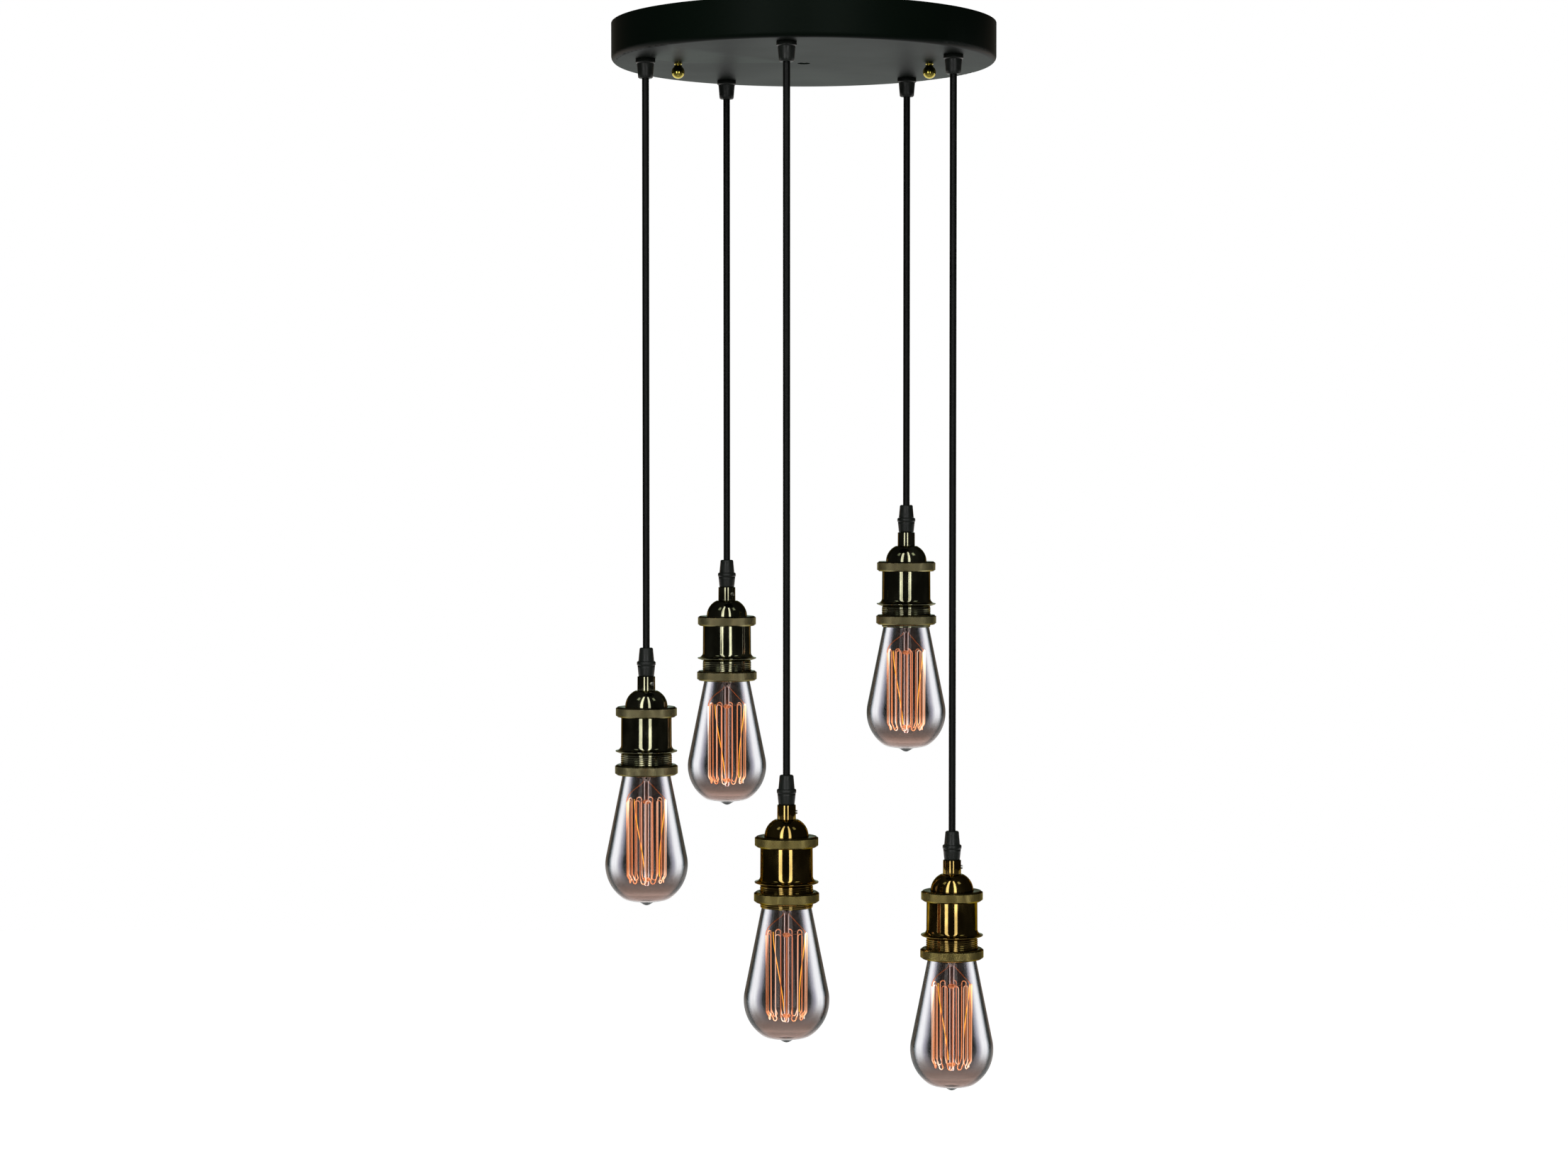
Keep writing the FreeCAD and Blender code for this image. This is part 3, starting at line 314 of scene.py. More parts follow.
def satin_paint(t):
    """Sprayed satin paint: a fine orange peel and a few dull patches."""
    peel = t.noise(1400.0, 2.0)
    patches = t.noise(14.0, 3.0)
    return {
        "Roughness": t.step(patches, 0.3, 0.7, 0.45, 0.48),
        "Base Color": t.mix(patches, colours().paint, [c * 1.6 for c in colours().paint]),
        "Normal": t.bump(peel, 0.25, 0.05 * MM),
    }


def moulded_plastic(tint):
    def build(t):
        grain = t.noise(2600.0, 2.0)
        wear = t.noise(180.0, 4.0)
        return {
            "Base Color": t.mix(wear, tint, [c * 1.9 for c in tint]),
            "Roughness": t.step(wear, 0.3, 0.75, 0.34, 0.52),
            "Normal": t.bump(grain, 0.35, 0.04 * MM),
        }
    return build


def cable_sheath(t):
    """Extruded sheath: faint lines along it and a soft gloss."""
    lines = t.noise(900.0, 2.0, (1.0, 1.0, 0.02))
    dust = t.noise(220.0, 4.0, (1.0, 1.0, 0.3))
    return {
        "Base Color": t.mix(
            t.step(dust, 0.45, 0.8), colours().cable, [c * 1.8 for c in colours().cable]),
        "Roughness": t.step(dust, 0.3, 0.7, 0.34, 0.42),
        "Normal": t.bump(lines, 0.10, 0.04 * MM),
    }


def turned_brass(tint):
    """Dark lacquered brass with the lathe's fine rings, patina and a few light scratches."""
    def build(t):
        rings = t.noise(1.0, 2.0, (60.0, 60.0, 5200.0))
        patina = t.noise(85.0, 5.0, (1.0, 1.0, 0.55))
        speck = t.noise(900.0, 2.0)
        scratch = t.noise(260.0, 1.0, (1.0, 1.0, 0.16)).math("SUBTRACT", 0.5).math("ABSOLUTE")
        scratched = t.step(scratch, 0.0, 0.006, 1.0, 0.0) * t.step(patina, 0.60, 0.72)
        dark = [c * 0.42 for c in tint]
        warm = [min(1.0, tint[0] * 1.5), tint[1] * 1.15, tint[2] * 0.7]
        base = t.mix(t.step(patina, 0.35, 0.75), dark, tint)
        base = t.mix(t.step(speck, 0.62, 0.80, 0.0, 0.5), base, warm)
        base = t.mix(scratched * 0.8, base, [min(1.0, c * 6.0) for c in tint])
        return {
            "Base Color": base,
            "Roughness": t.step(patina, 0.3, 0.8, 0.055, 0.12) + scratched * 0.2,
            "Normal": t.bump(rings + scratched * 2.0, 0.10, 0.012 * MM),
        }
    return build


def knurled_brass(tint):
    """The same brass, worn bright on the knurl's crests and dark in its grooves."""
    def build(t):
        knurl, crest = t.attribute("knurl"), t.attribute("crest")
        patina = t.noise(85.0, 5.0)
        groove = [c * 0.10 for c in tint]
        worn = [min(1.0, tint[0] * 4.2), min(1.0, tint[1] * 3.8), min(1.0, tint[2] * 2.8)]
        plain = t.mix(t.step(patina, 0.35, 0.75), [c * 0.5 for c in tint], tint)
        cut = t.mix(t.step(crest, 0.12, 0.70), groove, [c * 1.35 for c in tint])
        cut = t.mix(t.step(crest, 0.72, 1.0) * t.step(patina, 0.3, 0.6, 0.35, 1.0), cut, worn)
        return {
            "Base Color": t.mix(knurl, plain, cut),
            "Roughness": t.step(patina, 0.3, 0.8, 0.14, 0.24) + knurl * 0.18,
            "Normal": t.bump(t.noise(1600.0, 2.0), 0.2, 0.02 * MM),
        }
    return build


def polished(tint, rough, grain=(1.0, 1.0, 1.0), scale=300.0):
    """Bright metal with faint handling marks."""
    def build(t):
        marks = t.noise(scale, 4.0, grain)
        return {
            "Base Color": t.mix(t.step(marks, 0.3, 0.8), [c * 0.72 for c in tint], tint),
            "Roughness": t.step(marks, 0.3, 0.8, rough, rough * 1.8),
            "Normal": t.bump(marks, 0.08, 0.02 * MM),
        }
    return build


def smoked_glass(t):
    """The glass's own pale tint under painted reflections and shade: dark in the middle, clear towards
    the sides and teal-black at the edge. The round end is painted warmer: pale at the rim, brown
    above it, dark at the sealed tip."""
    height = t.attribute("height")
    slant = t.slant()
    lines = t.noise(60.0, 3.0, (1.0, 1.0, 0.12))
    clear = list(colours().glass)
    # painted reflections and shade by slant: dark room painted into the middle and edge, the glass's
    # own tint in the clear bands
    side = t.ramp(slant, [
        (0.0, (0.028, 0.018, 0.015)),
        (0.10, (0.021, 0.017, 0.015)),
        (0.175, (0.024, 0.027, 0.028)),
        (0.26, (0.38, 0.37, 0.43)),
        (0.34, clear),
        (0.47, clear),
        (0.55, (0.30, 0.33, 0.36)),
        (0.62, (0.040, 0.060, 0.060)),
        (0.85, (0.030, 0.046, 0.044)),
        (1.0, (0.05, 0.07, 0.07)),
    ])
    # painted reflection and glow on the round end: pale at the rim, brown above it, painted shade at
    # the tip
    painted_end = t.ramp(height / 0.24, [
        (0.0, (0.05, 0.04, 0.04)),
        (0.09, (0.03, 0.03, 0.03)),
        (0.13, (0.66, 0.50, 0.46)),
        (0.20, (0.56, 0.40, 0.35)),
        (0.32, (0.32, 0.20, 0.16)),
        (0.52, (0.125, 0.088, 0.074)),
        (1.0, (0.130, 0.118, 0.116)),
    ])
    # the glass's own tint mixed with the painted reflections and shade
    tint_and_painted_light = t.mix(t.step(height, 0.15, 0.29), painted_end, side)
    inside = t.node("ShaderNodeNewGeometry", out="Backfacing")
    return {
        "Base Color": t.mix(inside, tint_and_painted_light, WHITE),
        "Roughness": 0.0,
        "Normal": t.bump(lines, 0.05, 0.10 * MM),
    }


def painted_dark_rim(t):
    """Painted shade where the wall is seen so slanting that it turns dark, and round the sealed tip."""
    slant = t.slant()
    height = t.attribute("height")
    edge = t.step(slant, 0.56, 0.66) * t.step(height, 0.04, 0.16, 0.25, 0.92)
    return edge.math("MAXIMUM", t.step(height, 0.016, 0.030, 0.85, 0.0))


def stem_glass(t):
    """A glass rod with painted light: a white glow painted along its edges and the cage's brown painted
    into its middle as a reflection.
    """
    slant = t.slant()
    # the cage's brown painted into the rod's middle as a reflection
    core = t.ramp(slant, [
        (0.0, (0.50, 0.36, 0.32)),
        (0.15, (0.62, 0.50, 0.46)),
        (0.30, WHITE),
        (1.0, (0.9, 0.9, 0.95)),
    ])
    # painted highlights: a glow along the rod's edges
    light = t.ramp(slant, [
        (0.16, (0.02, 0.01, 0.01)),
        (0.30, (0.85, 0.82, 0.85)),
        (0.62, (0.7, 0.66, 0.68)),
        (0.9, (0.1, 0.05, 0.04)),
    ])
    return {"Base Color": core, "Emission Color": light,
            "Normal": t.bump(t.noise(220.0, 2.0, (1.0, 1.0, 0.2)), 0.2, 0.1 * MM)}


def pinch_glass(t):
    """Glass squeezed flat while soft, full of small folds whose sparkle is painted on as a glow."""
    folds = t.noise(420.0, 3.0, (1.0, 1.0, 0.5))
    # painted glints: the folds glow
    light = t.ramp(folds, [
        (0.50, (0.01, 0.01, 0.01)), (0.58, (0.9, 0.86, 0.86)), (0.66, (0.05, 0.03, 0.03))])
    return {"Base Color": t.ramp(folds, [(0.35, (0.35, 0.26, 0.24)), (0.6, WHITE)]),
            "Emission Color": light, "Normal": t.bump(folds, 0.8, 0.4 * MM)}


def amber_button(t):
    """The button that holds the hooks, with the filament's orange light painted on it as a glow."""
    glow = t.ramp(t.noise(900.0, 2.0), [
        (0.3, (0.55, 0.12, 0.03)), (0.55, (1.0, 0.42, 0.18)), (0.75, (1.0, 0.72, 0.48))])
    return {"Base Color": glow, "Emission Color": glow, "Roughness": 0.2}


def glowing_wire(t):
    """Copper-coloured filament, some strands paler and some more golden than others."""
    strand = t.noise(260.0, 0.0, (1.0, 1.0, 0.02))
    tint = colours().filament
    glow = t.ramp(t.step(strand, 0.25, 0.75), [
        (0.0, (tint[0] * 0.55, tint[1] * 0.45, tint[2] * 0.4)),
        (0.4, (tint[0], tint[1], tint[2])),
        (0.7, (tint[0], tint[1] * 1.5, tint[2] * 2.6)),
        (1.0, (tint[0], tint[1] * 2.2, tint[2] * 5.0)),
    ])
    return {
        "Base Color": t.mix(0.6, glow, (1.0, 0.9, 0.85)),
        "Emission Color": glow,
        "Roughness": 0.28,
    }


def painted_green(t):
    chips = t.noise(700.0, 3.0)
    return {"Base Color": t.mix(t.step(chips, 0.62, 0.7), (0.02, 0.22, 0.06), (0.35, 0.34, 0.32))}


def glazed(t):
    crazing = t.noise(160.0, 4.0)
    return {
        "Base Color": t.mix(crazing, (0.78, 0.75, 0.69), (0.70, 0.66, 0.58)),
        "Roughness": t.step(crazing, 0.3, 0.7, 0.18, 0.3),
    }


def make_finishes():
    """Every material, once."""
    c = colours()
    metal = {"Metallic": 1.0}
    aged = {**metal, "Specular Tint": (0.38, 0.35, 0.28, 1.0)}
    sooty = {**metal, "Specular Tint": (0.16, 0.15, 0.12, 1.0)}
    clear = {"Transmission Weight": 1.0, "IOR": 1.5}
    for name in PENDANTS:
        tint = list(c.golden_brass if name in GOLDEN else c.brass)
        finishes["brass_" + name] = surface("brass_" + name, aged, turned_brass(tint))
        dull = [tint[0] * 0.35 + 0.30, tint[1] * 0.35 + 0.25, tint[2] * 0.60 + 0.07]
        finishes["knurl_" + name] = surface("knurl_" + name, sooty, knurled_brass(dull))
    finishes.update({
        "paint": surface("black_satin", {
            "Specular IOR Level": 0.05, "Specular Tint": (0.86, 1.0, 0.90, 1.0)}, satin_paint),
        "plastic": surface(
            "grip_plastic", {"Specular IOR Level": 0.3}, moulded_plastic(list(c.plastic))),
        "terminal": surface("terminal_plastic", {}, moulded_plastic([0.36, 0.35, 0.33])),
        "cable": surface("flex_sheath", {"Specular IOR Level": 0.12}, cable_sheath),
        "cap_nut": surface("cap_nut_brass", metal, polished(list(c.cap_nut), 0.10)),
        "zinc": surface("zinc_plate", metal, polished([0.60, 0.60, 0.57], 0.26, scale=120.0)),
        "green": surface("earth_green", {"Roughness": 0.35}, painted_green),
        "ceramic": surface("socket_ceramic", {}, glazed),
        "base": surface("bulb_base_brass", metal, polished([0.70, 0.53, 0.24], 0.16)),
        "vitrite": surface(
            "black_insulator", {"Roughness": 0.12}, moulded_plastic([0.008, 0.008, 0.010])),
        "solder": surface("contact_solder", metal, polished([0.66, 0.65, 0.62], 0.30)),
        # bulb glass: its own tint under painted reflections, painted shade and a painted dark edge
        "glass": surface("smoked_glass", {**clear, "IOR": 1.2}, smoked_glass, painted_dark_rim),
        # the stem, pinch and button glow: the filament's light painted on them
        "stem": surface("stem_glass", {**clear, "Emission Strength": 1.9}, stem_glass),
        "pinch": surface("pinch_glass", {**clear, "Emission Strength": 0.9}, pinch_glass),
        "button": surface("stem_button", {"Emission Strength": 2.2}, amber_button),
        "gold_strand": surface("golden_strand", {
            **metal, "Emission Strength": 7.0, "Emission Color": (1.0, 0.47, 0.05),
        }, polished([0.9, 0.5, 0.1], 0.25)),
        "filament": surface("filament", {"Metallic": 0.75, "Emission Strength": 4.6}, glowing_wire),
        # the hooks' and lead wires' glow is the filament's light painted on them
        "hook": surface(
            "hook_wire", {**metal, "Emission Strength": 0.15}, polished([0.66, 0.34, 0.18], 0.24)),
        "lead": surface("lead_wire", {
            **metal, "Emission Strength": 0.7, "Emission Color": (1.0, 0.25, 0.06, 1.0),
        }, polished([0.75, 0.36, 0.18], 0.22)),
    })


# ---- Mesh helpers ----


def mesh_of(name, work, material=None):
    """A mesh from bmesh data, smooth but for its sharp edges."""
    mesh = bpy.data.meshes.new(name)
    work.to_mesh(mesh)
    work.free()
    if material:
        mesh.materials.append(material)
    mesh.shade_smooth()
    mesh.set_sharp_from_angle(angle=math.radians(32))
    return mesh


def in_order(work):
    """The same corners and faces, sorted, since extruding leaves faces in an order that varies."""
    corners = sorted(work.verts, key=lambda vert: tuple(vert.co))
    rank = {vert: i for i, vert in enumerate(corners)}
    loops = [[rank[vert] for vert in face.verts] for face in work.faces]
    made = bmesh.new()
    verts = [made.verts.new(vert.co) for vert in corners]
    for loop in sorted(loops):
        made.faces.new([verts[i] for i in loop])
    work.free()
    return made


def softened(corners, steps=3):
    """A closed outline of (radius, height[, rounding]) corners, in mm, with them rounded."""
    line = []
    count = len(corners)
    for i, corner in enumerate(corners):
        here = Vector(corner[:2])
        size = corner[2] if len(corner) > 2 else 0.0
        if not size:
            line.append(here)
            continue
        back = (Vector(corners[i - 1][:2]) - here).normalized()
        ahead = (Vector(corners[(i + 1) % count][:2]) - here).normalized()
        start, stop = here + back * size, here + ahead * size
        for k in range(steps + 1):
            share = k / steps
            one = start.lerp(here, share)
            two = here.lerp(stop, share)
            line.append(one.lerp(two, share))
    return line


def lathe(name, line, material, around=96, closed=True):
    """Turns an outline of (radius, height) points, in mm, about Z."""
    work = bmesh.new()
    rings = []
    for radius, height in line:
        if radius < 1e-4:
            rings.append([work.verts.new((0, 0, height * MM))] * around)
            continue
        rings.append([
            work.verts.new((radius * MM * math.cos(TURN * k / around),
                            radius * MM * math.sin(TURN * k / around), height * MM))
            for k in range(around)
        ])
    pairs = list(zip(rings, rings[1:])) + ([(rings[-1], rings[0])] if closed else [])
    for low, high in pairs:
        for k in range(around):
            corners = [low[k], low[(k + 1) % around], high[(k + 1) % around], high[k]]
            corners = list(dict.fromkeys(corners))
            if len(corners) > 2:
                work.faces.new(corners)
    bmesh.ops.recalc_face_normals(work, faces=work.faces)
    return mesh_of(name, work, material)


def object_of(mesh, name):
    piece = bpy.data.objects.new(name, mesh)
    bpy.context.scene.collection.objects.link(piece)
    return piece


def evaluated(piece):
    """The mesh that a piece's modifiers make. The piece is removed."""
    view = bpy.context.evaluated_depsgraph_get()
    view.update()
    mesh = bpy.data.meshes.new_from_object(piece.evaluated_get(view))
    bpy.data.objects.remove(piece)
    return mesh


def through_nodes(mesh, group, inputs):
    """Runs a mesh through a Geometry Nodes group with these inputs, by name."""
    piece = object_of(mesh, "work_" + group.name)
    modifier = piece.modifiers.new("nodes", "NODES")
    modifier.node_group = group
    names = {socket.name: socket.identifier for socket in group.interface.items_tree}
    for name, value in inputs.items():
        modifier[names[name]] = value
    return evaluated(piece)


def joined(name, meshes):
    """Several meshes in one, with their materials."""
    work = bmesh.new()
    materials = []
    for mesh in meshes:
        start = len(work.faces)
        work.from_mesh(mesh)
        work.faces.ensure_lookup_table()
        for face in work.faces[start:]:
            material = mesh.materials[face.material_index]
            if material not in materials:
                materials.append(material)
            face.material_index = materials.index(material)
    whole = bpy.data.meshes.new(name)
    work.to_mesh(whole)
    work.free()
    for material in materials:
        whole.materials.append(material)
    return whole


def put(mesh, name, body, offset=(0, 0, 0), replaces=()):
    """A piece of its own: a copy of the mesh in its place, riding on its body."""
    own = mesh.copy()
    own.transform(Matrix.Translation(offset))
    piece = object_of(own, name)
    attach(piece, body)
    if replaces:
        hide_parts(*replaces)
    return piece


def dressed(node, material):
    """A CAD node's own shape, with its facets welded and shaded as the curves they stand for."""
    source = frame["nodes"][node]
    work = bmesh.new()
    work.from_mesh(source.data)
    bmesh.ops.remove_doubles(work, verts=work.verts, dist=WELD)
    for face in work.faces:
        face.material_index = 0
    mesh = mesh_of(node, work, material)
    return put(mesh, node + "_finish", source["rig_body"], replaces=(node,))


def axis_of(pendant):
    """The middle of a pendant in plan."""
    low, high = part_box("upper_ring_" + pendant)
    return (low + high) / 2


def ferrule_top(pendant):
    """The point that a lamp holder's depths are measured from."""
    middle = axis_of(pendant)
    return Vector((middle.x, middle.y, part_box("holder_cap_" + pendant)[1].z))


def bulb_tip(pendant):
    middle = axis_of(pendant)
    return Vector((middle.x, middle.y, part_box("bulb_glass_" + pendant)[0].z))


# ---- Geometry Nodes ----


def group_of(name, inputs):
    """An empty Geometry Nodes group with named inputs, and its input values by name."""
    group = bpy.data.node_groups.new(name, "GeometryNodeTree")
    group.interface.new_socket("Geometry", in_out="INPUT", socket_type="NodeSocketGeometry")
    for label, kind in inputs.items():
        group.interface.new_socket(label, in_out="INPUT", socket_type="NodeSocket" + kind)
    group.interface.new_socket("Geometry", in_out="OUTPUT", socket_type="NodeSocketGeometry")
    entry = group.nodes.new("NodeGroupInput")
    values = {socket.name: Value(group, socket) for socket in entry.outputs if socket.name}
    return group, Tree(group), values


def end_group(group, tree, geometry, material):
    """Realized instances and a material, and then the group's output."""
    whole = tree.node("GeometryNodeRealizeInstances", values={"Geometry": geometry})
    whole = tree.node("GeometryNodeSetMaterial", values={"Geometry": whole, "Material": material})
    tree.node("NodeGroupOutput", values={"Geometry": whole})
    return group


def together(tree, *parts):
    """Several geometries as one."""
    whole = tree.tree.nodes.new("GeometryNodeJoinGeometry")
    for part in parts:
        tree.tree.links.new(part.socket, whole.inputs[0])
    return Value(tree.tree, whole.outputs[0])


def group_named(name, make):
    """A Geometry Nodes group, made when it is first asked for."""
    return bpy.data.node_groups.get(name) or make()


def knurl_group():
    """A band of diamond knurls round Z, joined to the ring that comes in."""
    group, t, v = group_of("knurled_band", {
        "Root": "Float", "Bottom": "Float", "Height": "Float", "Depth": "Float",
        "Count": "Int", "Rows": "Int", "Material": "Material"})
    index = t.node("GeometryNodeInputIndex")
    row = (index / v["Count"]).math("FLOOR")
    column = index.math("FLOORED_MODULO", v["Count"])
    angle = (column + row.math("FLOORED_MODULO", 2.0) * 0.5) * TURN / v["Count"]
    rise = v["Height"] / (v["Rows"] + 1)
    place = t.vector(
        v["Root"] * angle.math("COSINE"), v["Root"] * angle.math("SINE"),
        v["Bottom"] + rise * (row + 1))
    points = t.node("GeometryNodePoints", values={"Count": v["Count"] * v["Rows"], "Position": place})
    diamond = t.node("GeometryNodeMeshCone", {"fill_type": "NONE"}, {
        "Vertices": 4, "Radius Top": 0.0, "Radius Bottom": 1.0, "Depth": 1.0})
    height = t.axes(t.node("GeometryNodeInputPosition"))[2]
    for label, value in (("crest", t.step(height, 0.0, 1.0)), ("knurl", 1.0)):
        diamond = t.node("GeometryNodeStoreNamedAttribute", {"data_type": "FLOAT"}, {
            "Geometry": diamond, "Name": label, "Value": value})
    outward = t.node("FunctionNodeEulerToRotation", values={
        "Euler": t.vector(0.0, math.pi / 2, angle)})
    size = t.vector(rise, v["Root"] * math.pi / v["Count"], v["Depth"])
    band = t.node("GeometryNodeInstanceOnPoints", values={
        "Points": points, "Instance": diamond, "Rotation": outward, "Scale": size})
    return end_group(group, t, together(t, v["Geometry"], band), v["Material"])


def thread_group():
    """A threaded surface round Z, one unbroken helix, joined to the body that comes in."""
    group, t, v = group_of("thread", {
        "Root": "Float", "Bottom": "Float", "Length": "Float", "Pitch": "Float",
        "Depth": "Float", "Around": "Int", "Along": "Int", "Material": "Material"})
    grid = t.node("GeometryNodeMeshGrid", values={
        "Size X": 1.0, "Size Y": 1.0, "Vertices X": v["Around"] + 1, "Vertices Y": v["Along"]})
    x, y = t.axes(t.node("GeometryNodeInputPosition"))[:2]
    turn = x + 0.5
    height = (y + 0.5) * v["Length"]
    wave = ((height / v["Pitch"] - turn) * TURN).math("COSINE") * 0.5 + 0.5
    fade = height.math("MINIMUM", v["Length"] - height) / v["Pitch"]
    radius = v["Root"] + v["Depth"] * wave * fade.math("MINIMUM", 1.0)
    angle = turn * TURN
    place = t.vector(
        radius * angle.math("COSINE"), radius * angle.math("SINE"), v["Bottom"] + height)
    ridge = t.node("GeometryNodeSetPosition", values={"Geometry": grid, "Position": place})
    ridge = t.node("GeometryNodeMergeByDistance", values={"Geometry": ridge, "Distance": WELD})
    ridge = t.node("GeometryNodeSetShadeSmooth", values={"Geometry": ridge})
    return end_group(group, t, together(t, v["Geometry"], ridge), v["Material"])


def wire_group():
    """A round wire along each path that comes in as edges."""
    group, t, v = group_of("wire", {"Radius": "Float", "Sides": "Int", "Material": "Material"})
    paths = t.node("GeometryNodeMeshToCurve", values={"Mesh": v["Geometry"]})
    ring = t.node("GeometryNodeCurvePrimitiveCircle", values={
        "Resolution": v["Sides"], "Radius": v["Radius"]})
    wire = t.node("GeometryNodeCurveToMesh", values={
        "Curve": paths, "Profile Curve": ring, "Fill Caps": True})
    wire = t.node("GeometryNodeSetShadeSmooth", values={"Geometry": wire})
    return end_group(group, t, wire, v["Material"])


def wires(paths, diameter, material, sides=8):
    """Round wires along lists of points, in mm."""
    work = bmesh.new()
    for path in paths:
        corners = [work.verts.new(Vector(point) * MM) for point in path]
        for pair in zip(corners, corners[1:]):
            work.edges.new(pair)
    return through_nodes(mesh_of("paths", work), group_named("wire", wire_group), {
        "Radius": diameter / 2, "Sides": sides, "Material": material})


# ---- Canopy ----


class PENDANT_OT_canopy(bpy.types.Operator):
    """Finish the canopy, what fastens it and what lies in it"""

    bl_idname = "pendant.canopy"
    bl_label = "Canopy and fixings"

    def execute(self, context):
        for node, finish, slot in (
            ("canopy_pan", "paint", "black_satin_paint"),
            ("crossbar", "zinc", "zinc_plate"),
            ("crossbar_studs", "zinc", "zinc_plate"),
            ("cap_nuts", "cap_nut", "polished_brass"),
            ("earth_screw", "green", "green_screw"),
            ("canopy_grips", "plastic", "black_plastic"),
            ("grip_locknuts", "plastic", "black_plastic"),
            ("terminal_block", "terminal", "white_plastic"),
            ("inner_leads", "cable", "black_cable"),
        ):
            dressed(node, finishes[finish])
        return {"FINISHED"}


# ---- Flexes ----


class PENDANT_OT_flexes(bpy.types.Operator):
    """Hang the five flexes, each pulled straight by its lamp holder"""

    bl_idname = "pendant.flexes"
    bl_label = "Flexes"

    def execute(self, context):
        for name in PENDANTS:
            low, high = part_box("flex_" + name)
            middle = axis_of(name)
            diameter = high.x - low.x
            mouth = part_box("canopy_grips")[0].z
            far = low.z
            line = bpy.data.curves.new("flex_line_" + name, "CURVE")
            line.dimensions = "3D"
            line.bevel_depth = diameter / 2
            line.bevel_resolution = 6
            line.use_fill_caps = True
            run = line.splines.new("NURBS")
            heights = (mouth, mouth - 6 * diameter, (mouth + far) / 2, far + 6 * diameter, far)
            run.points.add(len(heights) - 1)
            for point, height in zip(run.points, heights):
                point.co = (middle.x, middle.y, height, 1.0)
            run.order_u = 3
            run.use_endpoint_u = True
            line.materials.append(finishes["cable"])
            piece = object_of(line, "cord_" + name)
            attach(piece, "flex_" + name)
            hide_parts("flex_" + name)
            dressed("flex_bend_" + name, finishes["cable"])
        return {"FINISHED"}


# ---- Lamp holders ----


def barrel_mesh(material):
    """Tube, trumpet flange, groove, thread and the ledge inside, with the thread as a helix."""
    s = sizes()
    root = THREAD_RADIUS - s.thread_depth / MM
    seat = root - 0.04
    sweep = [
        Vector((BARREL_RADIUS + FLANGE_SWEEP * (1 - math.cos(angle)),
                -FLANGE_TOP + FLANGE_SWEEP * (1 - math.sin(angle))))
        for angle in [math.pi / 2 * k / 10 for k in range(11)]
    ]
    line = softened([
        (BARREL_BORE, -BARREL_TOP),
        (BARREL_RADIUS, -BARREL_TOP, 0.2),
    ]) + sweep + softened([
        (FLANGE_RADIUS, -FLANGE_TOP, 0.3),
        (FLANGE_RADIUS, -FLANGE_BOTTOM, 0.5),
        (GROOVE_RADIUS, -THREAD_TOP),
        (seat, -THREAD_TOP - 0.2),
        (seat, -BARREL_END + 0.3),
        (root - 0.3, -BARREL_END),
        (MOUTH_BORE, -BARREL_END, 0.2),
        (MOUTH_BORE, -LEDGE_BOTTOM - MOUTH_BORE + LEDGE_BORE),
        (LEDGE_BORE, -LEDGE_BOTTOM, 0.3),
        (LEDGE_BORE, -LEDGE_TOP),
        (BARREL_BORE, -LEDGE_TOP),
    ])
    body = lathe("barrel", line, material)
    length = BARREL_END - THREAD_TOP - 0.4
    rows = round(6 * length * MM / s.thread_pitch)
    return through_nodes(body, group_named("thread", thread_group), {
        "Root": root * MM, "Bottom": (0.2 - BARREL_END) * MM, "Length": length * MM,
        "Pitch": s.thread_pitch, "Depth": s.thread_depth, "Around": 84, "Along": rows,
        "Material": material})


def cap_mesh(material):
    """Ferrule, dome and the flange that the upper ring holds, turned in one piece."""
    middle = DOME_RADIUS - DOME_ARC
    first = math.asin((DOME_TOP - RING_TOP) / -DOME_ARC)
    dome = [
        Vector((middle + DOME_ARC * math.cos(first * (1 - k / DOME_STEPS)),
                -RING_TOP + DOME_ARC * math.sin(first * (1 - k / DOME_STEPS))))
        for k in range(DOME_STEPS + 1)
    ]
    roof = -DOME_TOP - CAP_ROOF
    under = [Vector((p.x - DOME_WALL, min(p.y, roof))) for p in dome[::-1]]
    line = softened([
        (FERRULE_BORE, roof),
        (FERRULE_BORE, 0),
        (FERRULE_RADIUS - 0.1, 0, 0.35),
        (FERRULE_RADIUS, -DOME_TOP, 0.25),
    ]) + dome + softened([
        (DOME_RADIUS, -DOME_SKIRT),
        (CAP_FLANGE, -DOME_SKIRT, 0.2),
        (CAP_FLANGE, -BARREL_TOP + 0.1),
        (DOME_RADIUS - DOME_WALL, -BARREL_TOP + 0.1),
    ]) + under
    return lathe("holder_cap", line, material, around=128)


